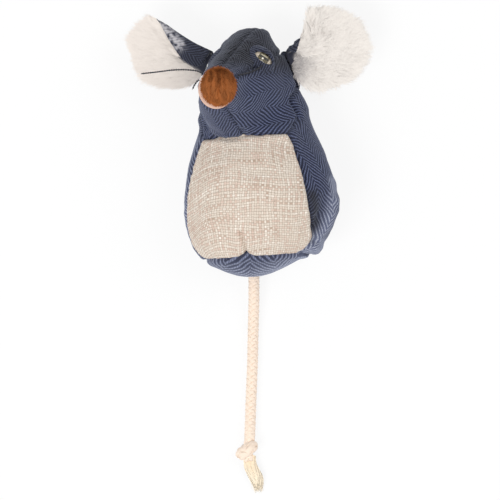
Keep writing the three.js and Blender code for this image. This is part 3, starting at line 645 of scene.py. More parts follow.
made = bmesh.new()
for name in PANELS + ["body_stuffing", "head_stuffing", "base_wad", "tail_anchor"]:
    points, faces = cad_mesh(name)
    points = points + SWELL * normals_of(points, faces)
    corners = [made.verts.new(p * MM) for p in points]
    for face in faces:
        made.faces.new([corners[i] for i in face])
for side in ("left", "right"):
    disc_middle, dome_middle = (cad_mesh(side + end)[0].mean(0) for end in ("_eye_iris", "_eye_dome"))
    plug = bmesh.ops.create_icosphere(made, subdivisions=3, radius=PLUG_RADIUS * MM)
    plug_at = dome_middle - PLUG_DEPTH * unit(dome_middle - disc_middle)
    bmesh.ops.translate(made, verts=plug["verts"], vec=plug_at * MM)
raw_mesh = bpy.data.meshes.new("raw_skin")
made.to_mesh(raw_mesh)
made.free()
raw = bpy.data.objects.new("raw_skin", raw_mesh)
bpy.context.collection.objects.link(raw)
points, faces = remeshed(raw, VOXEL)
group = groups_of(len(points), edges_of(faces))
outer = group == np.bincount(group).argmax()
renumber = np.cumsum(outer) - 1
points, faces = points[outer], renumber[faces[outer[faces[:, 0]]]]
pairs = edges_of(faces)
points = smoothed(points - SWELL * normals_of(points, faces), faces, 14, 1.03)
print("outer skin", len(points), "points, box", points.min(0).round(1), points.max(0).round(1))

# %% [markdown]
# Each point's distance to each CAD panel tells which panel it belongs to, and how far the nearest seam
# is. Averaging those distances over the skin takes the small steps of the CAD's cuts out of the seams.
# A gathered notch at the belly's lower edge, where the stuffing hole was sewn up, is drawn in here too.

# %% Which panel, and how far to the seam
FAR = 12.0  # mm; further than this from a panel doesn't matter
reach = np.full((len(points), len(PANELS)), FAR)
for k, name in enumerate(PANELS):
    panel_points, panel_faces = cad_mesh(name)
    tree_of_panel = BVHTree.FromPolygons(panel_points.tolist(), panel_faces.tolist())
    low, high = panel_points.min(0) - 9, panel_points.max(0) + 9
    for i in np.flatnonzero(((points > low) & (points < high)).all(1)):
        reach[i, k] = min(FAR, tree_of_panel.find_nearest(points[i])[3])
reach = np.stack([averaged(reach[:, k], pairs, 10) for k in range(len(PANELS))], axis=1)


def place_of(spots):
    """Where picture elements of the photograph lie on the toy, in mm across and along"""
    middle = np.array(VIEW_MIDDLE[:2]) / MM
    return (np.asarray(spots, float) - PICTURE / 2) * (MM_PER_PIXEL, -MM_PER_PIXEL) + middle


notch = place_of((246.5, 254.5))
near_notch = np.exp(-((points[:, 0] - notch[0]) / 2.6) ** 2 - ((points[:, 1] - notch[1]) / 7) ** 2)
reach[:, PANELS.index("belly_panel")] += 2.6 * near_notch * (points[:, 2] > 22)
owner = reach.argmin(1)
for k in range(len(PANELS)):  # a stray patch goes to the panel round it
    own = owner == k
    group = groups_of(len(points), pairs[own[pairs].all(1)])
    main = np.bincount(group[own], minlength=1).argmax()
    reach[own & (group != main), k] += 6
print("points in each panel", np.bincount(reach.argmin(1), minlength=len(PANELS)))

# %% [markdown]
# Stuffing and sewing now shape the skin. Within a millimetre of a seam the cloth turns in, beside it the
# seam gathers it into small puckers, and away from it the filling swells it. A few creases are at the
# places where the photograph shows them: over the belly's notch, and down the lower right side.

# %% Swell, seams and creases
coarse_out = unit(averaged(normals_of(points, faces), pairs, 3))
FRONT, LOWER, ALL = 20, 12, -99  # mm above the table from where a crease begins
CREASES = [  # mm high, mm wide, from where, and its line in picture elements of the photograph
    (-1.6, 0.8, FRONT, [(246.5, 254), (244, 244), (240, 233)]),  # the notch
    (0.7, 1.7, FRONT, [(251, 250), (249, 240)]),  # puckers beside it
    (0.7, 2.0, FRONT, [(240, 251), (236, 241)]),
    (1.8, 1.7, ALL, [(334, 201), (334, 210), (328, 224), (317, 238)]),  # the crest down the right side
    (-1.7, 1.8, ALL, [(326, 196), (324, 208), (320, 218)]),  # the hollow beside it
    (-0.6, 3.0, ALL, [(332, 160), (336, 174)]),
    (-0.8, 2.5, ALL, [(342, 190), (342, 190)]),
    (1.5, 2.8, ALL, [(201, 104), (202, 112), (201, 118)]),  # the left cheek
    (1.2, 3.2, ALL, [(302, 93), (306, 107)]),  # below the right ear
    (-1.1, 2.6, FRONT, [(299, 150), (308, 178), (315, 205), (315, 228)]),  # the valley beside the belly
    (1.0, 2.6, ALL, [(259, 31), (265, 33)]),  # the crown
    (1.6, 2.2, LOWER, [(315, 246), (320, 247)]),  # the bulge at the lower right
    (0.9, 2.2, ALL, [(310, 254), (314, 251)]),
]
FLAT_SEAM = [(262, 30), (243, 35), (221, 64)]  # the forehead seam is pulled in less
DEEPEST = -2.3  # mm


def near_line(points, line, width):
    """1 on a line through picture elements, falling to 0 within a few widths of it"""
    line = place_of(line)
    nearest = np.full(len(points), np.inf)
    for a, b in zip(line[:-1], line[1:]):
        t = np.clip(((points[:, :2] - a) @ (b - a)) / max((b - a) @ (b - a), 1e-9), 0, 1)
        nearest = np.minimum(nearest, np.linalg.norm(points[:, :2] - a - t[:, None] * (b - a), axis=1))
    return np.exp(-(nearest / width) ** 2)


def relief(points, gap):
    """How far the sewn cloth stands out from the smooth skin at each point, in mm"""
    groove = -1.2 * np.exp(-(gap / 0.75) ** 2) + 0.42 * np.exp(-((gap - 2.4) / 1.5) ** 2)
    groove = groove * (1 - 0.6 * near_line(points, FLAT_SEAM, 4.0))
    puckers = (0.5 * uneven(points, 0.36) + 0.2 * uneven(points, 0.9, (0, 0, 40))) * np.exp(-(gap / 3.2))
    height = groove + puckers + 0.55 * uneven(points, 0.09, (9, 0, 0)) * np.minimum(gap / 4, 1)
    for amount, width, start, line in CREASES:
        height += amount * np.clip((points[:, 2] - start) / 6, 0, 1) * near_line(points, line, width)
    return np.maximum(height, DEEPEST)


print(len(CREASES), "creases,", min(crease[0] for crease in CREASES), "to", max(crease[0] for crease in CREASES), "mm")

# %% [markdown]
# ### Cutting the panels
#
# The skin is cut along the seams, where two panels are equally near. Both panels on a seam get the very
# same edge points, so they meet without a gap. Each panel is then flattened as a dressmaker would, by
# unwrapping it, and its place on the flat cloth is kept in millimetres, so the weave can follow it. One
# subdivision makes the cut edges smooth before the relief is put on, and the cloth gets its thickness.

# %% Cut and flatten
def cut(k):
    """A piece of the skin with the distance to its seam and its outward direction on each point"""
    field = reach[:, k] - np.delete(reach, k, axis=1).min(1)
    within = field < 0
    kept, crossings, loops = {}, {}, []
    for face in faces[within[faces].any(1)]:
        loop = []
        for a, b in zip(face, np.roll(face, -1)):
            if within[a]:
                loop.append(("point", kept.setdefault(int(a), len(kept))))
            if within[a] != within[b]:
                edge = (int(min(a, b)), int(max(a, b)))
                loop.append(("edge", crossings.setdefault(edge, len(crossings))))
        if len(loop) > 2:
            loops.append(loop)
    own, edge = np.array(list(kept)), np.array(list(crossings))
    share = np.clip(field[edge[:, 0]] / (field[edge[:, 0]] - field[edge[:, 1]]), 0.1, 0.9)[:, None]
    between = lambda values: values[edge[:, 0]] * (1 - share) + values[edge[:, 1]] * share
    number = [[i if kind == "point" else len(own) + i for kind, i in loop] for loop in loops]
    return piece_of(PANELS[k].replace("_panel", "_cloth"), np.vstack([points[own], between(points)]), number,
                    gap=np.concatenate([-field[own], np.zeros(len(edge))]),
                    out=np.vstack([coarse_out[own], unit(between(coarse_out))]))


def flatten(piece, grain, turn):
    """Each point's place on the flat cloth in mm, with the cloth's length along a direction"""
    bpy.ops.object.select_all(action="DESELECT")
    bpy.context.view_layer.objects.active = piece
    piece.select_set(True)
    bpy.ops.object.mode_set(mode="EDIT")
    bpy.ops.mesh.select_all(action="SELECT")
    bpy.ops.uv.unwrap(method="MINIMUM_STRETCH", margin=0.001)
    bpy.ops.object.mode_set(mode="OBJECT")
    mesh = piece.data
    place = np.zeros(len(mesh.loops) * 2, np.float32)
    mesh.uv_layers.active.data.foreach_get("uv", place)
    corner = np.zeros(len(mesh.loops), np.int32)
    mesh.loops.foreach_get("vertex_index", corner)
    flat = np.zeros((len(mesh.vertices), 2))
    flat[corner] = place.reshape(-1, 2)
    mesh.uv_layers.remove(mesh.uv_layers.active)
    co, out = read(mesh, "co"), read(mesh, "out")
    ends = np.array([e.vertices[:] for e in mesh.edges])
    long = np.linalg.norm(co[ends[:, 0]] - co[ends[:, 1]], axis=1)
    wide = np.linalg.norm(flat[ends[:, 0]] - flat[ends[:, 1]], axis=1)
    shows = (out @ np.array([0, -0.45, 0.9]) > 0.45)[ends].all(1)  # its scale is right where it is seen
    flat = (flat - flat.mean(0)) * np.median((long / np.maximum(wide, 1e-9))[shows])
    grain = unit(grain)
    middle = np.argsort(np.linalg.norm(flat, axis=1))[:len(flat) // 3]
    across = unit(np.cross(grain, out[middle].mean(0)))
    lie = np.linalg.lstsq(np.hstack([flat[middle], np.ones((len(middle), 1))]),
                          co[middle] @ np.stack([across, grain], axis=1), rcond=None)[0][:2]
    if np.linalg.det(lie) < 0:
        flat[:, 0] *= -1
        lie[0] *= -1
    angle = math.atan2(lie[0, 1], lie[1, 1]) + math.radians(turn)
    return flat @ np.array([[math.cos(angle), math.sin(angle)], [-math.sin(angle), math.cos(angle)]])


def strongest(points, lines):
    """The highest of some lines at each point; each has its height, its width in mm and its place"""
    return np.max([0 * points[:, 0]] + [amount * near_line(points, line, width)
                                        for amount, width, line in lines], axis=0)


CUTTING = {  # the way its length lies, degrees it is turned by, and how much coarser its weave is drawn
    "base_panel": ((0, 0.3, 1), 0, 2.0), "belly_panel": ((0, 1, 0), 0, 1.0),
    "left_side_panel": ((0, 1, 0), 0, 1.2), "right_side_panel": ((0.1, 1, 0), 0, 1.25),
    "left_forehead_panel": ((0.3, 1, 0), 0, 1.1), "right_forehead_panel": ((-0.7, 1, 0), 0, 1.2),
    "left_cheek_panel": ((1, 0, 0), 40, 1.1), "right_cheek_panel": ((1, 0.15, 0), 0, 1.35),
}
PAINTED_LIGHT_ALL_OVER = {"base_panel": 0.2, "left_side_panel": 0.25}  # painted light: how much lighter it is drawn all over
PAINTED_LIGHT_LINES = {  # painted light and sheen: how much lighter it is drawn along lines, with their width in mm and their picture elements
    "base_panel": [(0.42, 2.6, [(203, 259), (225, 273), (250, 277), (278, 269), (302, 257)])],
    "left_side_panel": [(0.7, 2.2, [(190, 140), (184, 165), (182, 200), (184, 225), (190, 243)])],
    "right_side_panel": [
        (0.9, 1.7, [(332, 180), (334, 190), (332, 201), (330, 212), (326, 223), (321, 231), (315, 239)]),
        (0.95, 2.8, [(304, 252), (316, 246), (321, 243)])],
}
SHADED = {  # painted shade: how dark it is drawn along lines, in a hollow and along an outer edge where shade falls
    "right_side_panel": [
        (0.95, 2.6, [(313, 195), (317, 210), (317, 222), (315, 233), (311, 241)]),
        (0.4, 0.7, [(338, 178), (339.5, 190), (339, 201), (337.5, 212), (333.5, 224), (327, 235)])],
}
CLOTH = 0.5  # mm thick
COLUMN_SHIFT = 1.76  # mm; brings the middle of a herringbone column over the tail
cloths = {}
for k, name in enumerate(PANELS):
    panel = cut(k)
    grain, turn, coarser = CUTTING[name]
    flat = flatten(panel, grain, turn)
    lie = flat / coarser
    if name == "belly_panel":  # its threads bow up towards the left
        lie[:, 1] += 0.013 * np.minimum(flat[:, 0] + 4, 0) ** 2
    if name == "base_panel":
        lie[:, 0] += COLUMN_SHIFT
    store(panel, "cloth", np.hstack([lie, np.full((len(flat), 1), 31.0 * k)]))
    co = read(panel.data, "co")
    upper = np.clip((co[:, 2] - 21) / 6, 0, 1) if name == "right_side_panel" else 1.0
    # painted light and shade: lighter all over and along lines where light and sheen catch, darker along lines in the
    # hollows and at an outer edge; on the right side only on its upper part
    painted_light = PAINTED_LIGHT_ALL_OVER.get(name, 0.0) + upper * strongest(co, PAINTED_LIGHT_LINES.get(name, []))
    dark_and_shade = upper * strongest(co, SHADED.get(name, []))
    if "head" in name or "cheek" in name:  # darker and greyer towards the crown
        dark_and_shade = np.clip((co[:, 1] - 27) / 8, 0, 1)
    store(panel, "look", np.stack([dark_and_shade, painted_light, 0 * dark_and_shade], axis=1))
    smoother = panel.modifiers.new("smooth", "SUBSURF")
    smoother.levels = smoother.render_levels = 1
    mesh = modified(panel)
    co, gap, out = read(mesh, "co"), read(mesh, "gap", 1), unit(read(mesh, "out"))
    co = co + out * relief(co, np.maximum(gap, 0))[:, None]
    co[:, 2] = np.maximum(co[:, 2], 0)
    mesh.vertices.foreach_set("co", (co * MM).astype(np.float32).ravel())
    thicken(panel, CLOTH)
    modified(panel)
    size = flat.max(0) - flat.min(0)
    cloths[name] = (panel, size)
    print(panel.name, len(panel.data.polygons), "faces, flat", size.round(0), "mm")

# %% [markdown]
# ### Herringbone tweed
#
# The blue cloth is a woollen tweed, woven in a herringbone: a twill whose diagonal lines turn back in
# every column, here 5.6 mm wide, so that they stand like the bones of a fish. A dark navy warp is crossed
# by a lighter blue-grey weft. Wool is dull and slightly hairy, so it has a high roughness and some sheen.
# The twill lines are 1.1 mm apart and the threads 0.5 mm, and both are made from the place on the flat
# cloth: a ping-pong of the width turns the diagonal back, and a sine along it draws the lines. The panels
# draw all of it 1.1 to 1.35 times coarser, and the base twice as coarse, as the photograph shows them.
# Each also stores where it is drawn darker, towards charcoal and as painted shade, where it is painted lighter for
# light and sheen, and where white pile covers it.

# %% Tweed material
COLUMN, THREAD = 5.6, 0.5  # mm
TWILL, STEEP = 1.8, 1.35  # mm along the cloth from one line to the next, and how steeply they climb
BREAK = 1.2  # mm that the lines of every other column are moved by
tweed, tree, output = new_material("herringbone_tweed_wool")
cloth = stored(tree, "cloth")
drift = moved(tree, "SUBTRACT", cloudy(tree, cloth, 0.11).outputs["Color"], (0.5, 0.5, 0.5))
lie = moved(tree, "ADD", cloth, moved(tree, "SCALE", drift, 3.0))
across, along, _ = add(tree, "SeparateXYZ", {0: lie}).outputs
climb = maths(tree, "MULTIPLY_ADD", maths(tree, "PINGPONG", across, COLUMN), STEEP, along)
column = maths(tree, "GREATER_THAN", maths(tree, "FLOORED_MODULO", across, 2 * COLUMN), COLUMN)
climb = maths(tree, "MULTIPLY_ADD", column, BREAK, climb)
line = maths(tree, "SINE", maths(tree, "MULTIPLY", climb, 2 * math.pi / TWILL))
threads = maths(tree, "ABSOLUTE", maths(tree, "SINE", maths(tree, "MULTIPLY", across, math.pi / THREAD)))
floats = mapped(tree, line, -0.35, 0.85, kind="SMOOTHSTEP")
pattern = maths(tree, "MULTIPLY", floats, mapped(tree, threads, 0.0, 0.8, 0.3, 1.0))
fuzz = cloudy(tree, cloth, 2.3, 4.0, 0.7)
amount = maths(tree, "MULTIPLY", pattern, mapped(tree, fuzz, 0.3, 0.7, 0.3, 1.35), use_clamp=True)
charcoal_and_shade, painted_light, covered = add(tree, "SeparateXYZ", {0: stored(tree, "look")}).outputs
# painted light and shade: the look's first number darkens warp and weft, towards charcoal and as painted shade; its
# second lightens them as painted light and sheen
warp = mix(tree, painted_light, mix(tree, charcoal_and_shade, "#1F2337", "#141418"), "#666C86")
weft = mix(tree, painted_light, mix(tree, charcoal_and_shade, "#6E7799", "#3E3F47"), "#C9CEDE")
tone = mix(tree, amount, warp, weft)
tone = mix(tree, mapped(tree, cloudy(tree, cloth, 0.06, 3.0), 0.4, 0.75, 0.0, 0.35), tone, "#4A4D5D")
tone = mix(tree, covered, tone, "#EDE6E0")
surface(tree, output, tone, 0.93, (maths(tree, "MULTIPLY_ADD", fuzz, 0.5, pattern), 0.75, 0.00022),
        Sheen_Weight=0.5, Sheen_Roughness=0.38, Sheen_Tint=linear("#B9C0D4"), Specular_IOR_Level=0.3)
print("tweed", len(tree.nodes), "nodes, columns", COLUMN, "mm")

# %% [markdown]
# ### Slub linen
#
# The belly is a coarse plain weave of natural linen: each thread goes over one and under the next. Linen
# yarn is uneven, and thick cream slubs run through it both ways, beside pinkish and grey-brown threads.
# Real threads here are about 0.5 mm, drawn at 1.1 mm, as coarse as they need to show.

# %% Linen material
SPACING = 1.1  # mm from thread to thread
SLUBS = [  # where a thread's noise is, and its colour there
    (0.3, "#BCA593"), (0.42, "#DDC6B8"), (0.5, "#E0D4C6"), (0.6, "#EBE1D5"), (0.72, "#F8F0E6"),
]
linen, tree, output = new_material("linen_plain_weave_slub")
cloth = stored(tree, "cloth")
drift = moved(tree, "SCALE", cloudy(tree, cloth, 0.05, 1.0).outputs["Color"], 6.0)
counted = moved(tree, "SCALE", moved(tree, "ADD", cloth, drift), 1 / SPACING)
count = add(tree, "SeparateXYZ", {0: counted}).outputs
thread, within = (add(tree, "SeparateXYZ", {0: add(tree, "VectorMath", {0: counted}, operation=kind)}).outputs
                  for kind in ("FLOOR", "FRACTION"))
yarns = []
for own, other in ((0, 1), (1, 0)):
    ends = maths(tree, "MULTIPLY", count[other], 0.035)
    place = add(tree, "CombineXYZ", {0: thread[own], 1: ends, 2: 7.0 * own})
    shade = add(tree, "ValToRGB", {0: cloudy(tree, place, 1.7, 3.0, 0.6)})
    ramp = shade.color_ramp.elements
    for k in (0, -1):
        ramp[k].position, ramp[k].color = SLUBS[k][0], linear(SLUBS[k][1])
    for position, code in SLUBS[1:-1]:
        ramp.new(position).color = linear(code)
    yarns.append((shade, maths(tree, "SINE", maths(tree, "MULTIPLY", within[own], math.pi))))
over = maths(tree, "FLOORED_MODULO", maths(tree, "ADD", thread[0], thread[1]), 2.0)
height = add(tree, "Mix", {0: over, 2: yarns[1][1], 3: yarns[0][1]})
tone = mix(tree, over, yarns[1][0].outputs[0], yarns[0][0].outputs[0])
# painted shade: the colour darkens where a thread dips under its neighbour, between threads
tone = mix(tree, mapped(tree, height, 0.1, 0.75, kind="SMOOTHSTEP"), "#B3A08E", tone)
flecks = mapped(tree, cloudy(tree, cloth, 0.9, 4.0, 0.7), 0.54, 0.7, 0.0, 0.55)
tone = mix(tree, flecks, tone, "#A8998C")
hairy = maths(tree, "MULTIPLY_ADD", cloudy(tree, cloth, 3.0, 3.0), 0.5, height)
surface(tree, output, tone, 0.88, (hairy, 0.6, 0.00025), Sheen_Weight=0.12, Specular_IOR_Level=0.3)

for name, (panel, size) in cloths.items():
    if name == "belly_panel":
        dress(panel, linen, "stuffed_body")
    else:
        dress(panel, tweed, "stuffed_body")
    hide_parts(name)
print("linen", len(tree.nodes), "nodes; panels dressed", len(cloths))

# %% [markdown]
# ## The ears
#
# Each ear is a rounded flap of tweed, lined in front with white pile, and its upper edge is folded down
# over the front, so that the tweed shows there. The CAD ears have that folded form. They are remeshed
# finely and smoothed, which rounds their cut edges, and a slow noise makes the cloth a little uneven. An
# ear rides on its own body, and its root goes into the head seam, where it turns.

# %% Ear cloth
# trim and shows: how far the ear is drawn in, and how steep it may be where pile covers it. Then its fibres: how many
# grow on the lining and how many over it, their lengths and width in mm, how much they stand up, stray, clump and
# droop, and the mm that they may pass the outline by and that their painted grey shade reaches from the root.
EARS = {
    "left": dict(sign=-1, trim=0.98, shows=-0.2, seed=21, count=5000, over=6500, long=(4.0, 6.4), width=0.3,
                 lie=0.3, stray=0.14, clump=0.2, clumps=300, droop=(0, 0, -0.15), slack=2.6, grey_to=4),
    "right": dict(sign=1, trim=0.94, shows=-0.5, seed=22, count=4500, over=14500, long=(5.5, 9.5), width=0.33,
                  lie=0.6, stray=0.34, clump=0.4, clumps=330, droop=(0, 0, -0.3), slack=4.2, grey_to=9),
}
OUTLINES = {  # of the white parts, in picture elements of the photograph
    "left": [(156, 17), (149, 14), (139, 21), (128, 32), (121, 34), (127, 45), (132, 55), (137, 76), (143, 89),
             (165, 90), (193, 89), (205, 82), (200, 72), (184, 62), (174, 54), (165, 44), (159, 30), (157, 20)],
    "right": [(302, 33), (303, 20), (306, 11), (326, 8), (340, 11), (362, 21), (371, 40), (377, 51), (369, 69),
              (353, 82), (321, 93), (304, 91), (290, 78), (288, 68), (292, 64), (297.5, 49)],
}
UPPER_EDGE = place_of([  # of the left ear's folded side
    (157, 19), (162, 21.5), (168, 25), (174, 29.5), (180, 33.6), (186, 37.5), (192, 41.2), (198, 44.4), (204, 47.2),
    (210, 50), (218, 53.5)])


def inside(outline, places):
    """Which places lie inside an outline, both in mm across and along"""
    count = np.zeros(len(places), int)
    for (ax, ay), (bx, by) in zip(outline, np.roll(outline, -1, axis=0)):
        crosses = (ay > places[:, 1]) != (by > places[:, 1])
        share = (places[:, 1] - ay) / (by - ay if by != ay else 1)
        count += crosses & (places[:, 0] < ax + share * (bx - ax))
    return count % 2 == 1


def fine_mesh(node, voxel, rounds):
    """A CAD node as one fine smooth mesh: its points in mm and faces"""
    points, faces = remeshed(piece_of(node + "_rough", *cad_mesh(node)), voxel)
    return smoothed(points, faces, rounds, 1.04), faces


def trimmed(points, ear, below=0.0):
    """Points of an ear drawn in towards its root, so that its fur ends where the ear does"""
    offset = points - ear["root"]
    share = 1 - (1 - ear["trim"]) * np.clip(np.linalg.norm(offset[:, :2], axis=1) / 12, 0, 1)
    points = ear["root"] + offset * np.column_stack([share, share, np.ones(len(points))])
    if ear["sign"] < 0:
        points[:, 1] = np.minimum(points[:, 1], np.interp(points[:, 0], *UPPER_EDGE.T, left=99) - below)
    return points


for side, ear in EARS.items():
    fold = next(joint for joint in frame["joints"] if joint["name"] == side + "_ear_fold")
    outward = unit(np.cross(unit(fold["axis"]), (0, 0, 1)))
    outward = outward * (1 if outward[0] * ear["sign"] > 0 else -1)
    ear.update(root=hinges[side + "_ear_fold"], outward=outward, outline=place_of(OUTLINES[side]),
               rising=np.cross((0, 0, 1), outward) * ear["sign"])
    points, faces = fine_mesh(side + "_ear_back", 0.42, 24)
    points = trimmed(points + 0.35 * uneven(points, 0.13, (5, 0, 0))[:, None] * np.array([0, 0, 1]), ear)
    offset = points - ear["root"]
    flat = np.stack([offset @ ear["rising"], offset @ outward, np.full(len(points), 57.0 + ear["sign"])], axis=1)
    # painted light: a whitish sheen along the left ear's folded edge, which also makes it half white
    painted_light = near_line(points, [(162, 25), (170, 34), (179, 45)], 2.2) * (0.8 + 1.5 * uneven(points, 0.7, (0, 0, 8)))
    painted_light = np.clip(painted_light, 0, 1) * (side == "left")
    lined = inside(ear["outline"], points) | ((points[:, 0] > place_of((306, 0))[0]) & (side == "right"))
    covered = np.maximum(lined & (normals_of(points, faces)[:, 2] > ear["shows"]), 0.5 * painted_light)
    ear["piece"] = piece_of(side + "_ear_cloth", points, faces, cloth=flat,
                            look=np.column_stack([np.full(len(points), 0.75), painted_light, covered]))
    dress(ear["piece"], tweed, side + "_ear")
    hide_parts(side + "_ear_back")
    ear["cloth"] = (points, faces)
    print(ear["piece"].name, len(faces), "faces")

# %% [markdown]
# ### White pile and fur
#
# The ears' lining is a knitted pile cloth. The left ear's is brushed smooth and lies almost flat, cream in the light;
# the right ear's has sprung up into loose white fur, painted greyer near its root for the shade deep in it. Polyester
# fur fibre is bright, and light passes through it. Cut plush, which the nose has, is denser, so it lets less through,
# and the fibres' feet are painted darker for the shade deep in the pile. Near each ear's root, outside the white, the
# knitted backing is painted dark navy for the shade between the ear and the head.

# %% Pile materials
pile_backing, tree, output = new_material("pile_cloth_backing_knitted")
place = add(tree, "TexCoord").outputs["Object"]
tone = mix(tree, cloudy(tree, place, 120.0), "#E6DED8", "#F5F0EC")
# painted shade: near the ear's root, outside its white outline, the backing is drawn dark navy for the shade between
# the ear and the head
tone = mix(tree, stored(tree, "rooted", "Fac"), tone, "#2C2E3D")
surface(tree, output, tone, 0.95, (cloudy(tree, place, 900.0, 3.0), 0.8, 0.0004), Sheen_Weight=0.4)
fur_white = fibre_material("fur_fibre_polyester_long", "#E6DDD5", "#FBF3EC", "#FFF9F2", 0.12, 0.97)
pile_cream = fibre_material("pile_fibre_polyester_brushed", "#EFE5DC", "#F8EFE7", "#FDF4EC", 0.12, 0.97)
plush_rust = fibre_material("plush_fibre_rust_brown", "#4C200D", "#B06230", "#CE8652", 0.1, 0.4, 0.45)
print("pile backing", len(tree.nodes), "nodes")

# %% [markdown]
# The backing alone would look like felt, so fibres grow from it: short and combed on the left, long and
# clumped on the right. They grow outwards from the root, and past the rim of the ear. Some start all over
# the lining, and the rest where a straight drop from above first meets the ear, so that it is covered
# where it is seen. A fibre that would pass the ear's outline is cut shorter.

# %% Pile and fur on the ears
def spread_on(points, faces, wanted, rng):
    """Evenly spread places on triangles, with their normals: wanted of them"""
    a, b, c = (points[faces[:, k]] for k in range(3))
    across = np.cross(b - a, c - a)
    area = np.linalg.norm(across, axis=1)
    chosen = rng.choice(len(faces), wanted, p=area / area.sum())
    u, v = rng.random(wanted), rng.random(wanted)
    u, v = np.where(u + v > 1, 1 - u, u)[:, None], np.where(u + v > 1, 1 - v, v)[:, None]
    return a[chosen] + u * (b - a)[chosen] + v * (c - a)[chosen], unit(across)[chosen]


def rained_on(trees, outline, wanted, rng):
    """Evenly spread places under an outline where a straight drop first meets one of the trees"""
    roots, ups = [], []
    low, high = outline.min(0), outline.max(0)
    while len(roots) < wanted:
        place = low + rng.random(2) * (high - low)
        if not inside(outline, place[None])[0]:
            continue
        hits = [tree.ray_cast(Vector((*place, 80)), Vector((0, 0, -1))) for tree in trees]
        hits = [hit for hit in hits if hit[0] is not None]
        if hits:
            hit = max(hits, key=lambda hit: hit[0].z)
            roots.append(hit[0][:])
            ups.append(hit[1][:] if hit[1].z > 0 else (-hit[1])[:])
    return np.array(roots), np.array(ups)


for side, ear in EARS.items():
    rng = np.random.default_rng(ear["seed"])
    points, faces = fine_mesh(side + "_ear_pile", 0.5, 5)
    points = trimmed(points + 0.2 * uneven(points, 0.5)[:, None] * normals_of(points, faces), ear, 0.4)
    reach_out = np.linalg.norm(points - ear["root"], axis=1)
    # painted shade: where the backing is drawn dark near the root
    shaded_near_root = (~inside(ear["outline"], points) & (reach_out < 14)) | (reach_out < 4)
    ear["pile"] = piece_of(side + "_ear_pile_cloth", points, faces, rooted=averaged(shaded_near_root, edges_of(faces), 5))
    dress(ear["pile"], pile_backing, side + "_ear")
    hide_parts(side + "_ear_pile")
    trees = [BVHTree.FromPolygons(p.tolist(), f.tolist()) for p, f in (ear["cloth"], (points, faces))]
    halves = np.vstack([faces[:, [0, 1, 2]], faces[:, [0, 2, 3]]])
    a, b, c = (points[halves[:, k]] for k in range(3))
    facing, middles = unit(np.cross(b - a, c - a)), (a + b + c) / 3
    free = np.array([trees[0].ray_cast(Vector(m + 0.05 * n), Vector(n), 1.6)[0] is None
                     for m, n in zip(middles, facing)])
    reach_out = np.linalg.norm(middles - ear["root"], axis=1)
    shown = (inside(ear["outline"], middles) & (reach_out > 4)) | (reach_out > 14)
    grown = spread_on(points, halves[free & shown], ear["count"], rng)
    rained = rained_on(trees, ear["outline"], ear["over"], rng)
    roots, ups = (np.vstack(both) for both in zip(grown, rained))
    if side == "right":  # the fur is thinner in the hollow beside the fold, so that light gets in
        kept = rng.random(len(roots)) > 0.8 * near_line(roots, [(310, 36), (316, 39)], 4.0)
        roots, ups = roots[kept], ups[kept]
    combed = roots - ear["root"] + 6 * ear["outward"]
    combed = unit(combed - (combed * ups).sum(1)[:, None] * ups)
    ways = unit(combed + ear["lie"] * ups + ear["stray"] * rng.normal(size=roots.shape))
    away = np.linalg.norm(roots - ear["root"], axis=1)
    lengths = rng.uniform(*ear["long"], len(roots)) * np.clip((away - 2) / 12, 0.45, 1)
    bend = np.tile(ear["droop"], (len(roots), 1)) + 0.15 * rng.normal(size=roots.shape)
    slack = rng.random(len(roots)) ** 3 * ear["slack"]  # mm that a fibre may pass the outline by
    slack += 3.5 * rng.random(len(roots)) ** 3 * near_line(roots, [(318, 14), (326, 12), (345, 18)], 4.0)
    for shorter in (0.85, 0.8, 0.75, 0.7, 0.6):
        out_of_it = ~inside(ear["outline"], roots + (lengths - slack)[:, None] * (ways + bend))
        lengths = np.where(out_of_it & (lengths > 1), lengths * shorter, lengths)
    # painted shade: fibres near the ear's root are drawn grey
    grey = rng.uniform(0.4, 1, len(roots)) * np.clip(1 - (away - 2) / ear["grey_to"], 0, 0.8)
    fur = fibres_of(side + "_ear_fur", roots, ways, unit(0.4 * ups + [0, 0, 1.6]), lengths, ear["width"], bend, 5,
                    ear["clump"], ear["clumps"], 30 + ear["sign"], grey=grey)
    dress(fur, pile_cream if side == "left" else fur_white, side + "_ear")
    print(fur.name, len(fur.data.polygons), "faces,", round(lengths.mean(), 1), "mm long")

# %% [markdown]
# Behind the right ear's root the head's cloth bulges a little where the ear is sewn in, and closes the corner between
# the ear and the head. Its tweed is painted darker for the shade in that corner.

# %% Tuck behind the ear
TUCK_RADIUS, TUCK_HALF = 3.6, 9.5  # mm
tuck_way = unit([*(place_of((297, 90)) - place_of((285, 55))), -2.0])
tuck_outline = [(TUCK_RADIUS * math.cos(t), TUCK_HALF * math.sin(t)) for t in np.linspace(-1.5, 1.5, 24)]
tuck = turned("right_ear_tuck", tuck_outline, np.array([*place_of((290, 71)), 16.5]), tuck_way, 48)
co = read(tuck.data, "co")
store(tuck, "cloth", co[:, [1, 2, 0]])
# painted shade: the tuck's tweed is drawn darker for the shade in the corner behind the ear
store(tuck, "look", np.tile([0.55, 0.0, 0.0], (len(co), 1)))
dress(tuck, tweed, "stuffed_body")
print("tuck", 2 * TUCK_HALF, "mm long")

# %% [markdown]
# ## The nose
#
# A round patch of short rust-brown plush is sewn on the end of the snout. Its pile lies downwards and
# parts a little right of the middle, and at the lower left its pale cut edge shows. A low dome gives the
# shape, a ring under it the cut edge, and several thousand short fibres the pile.

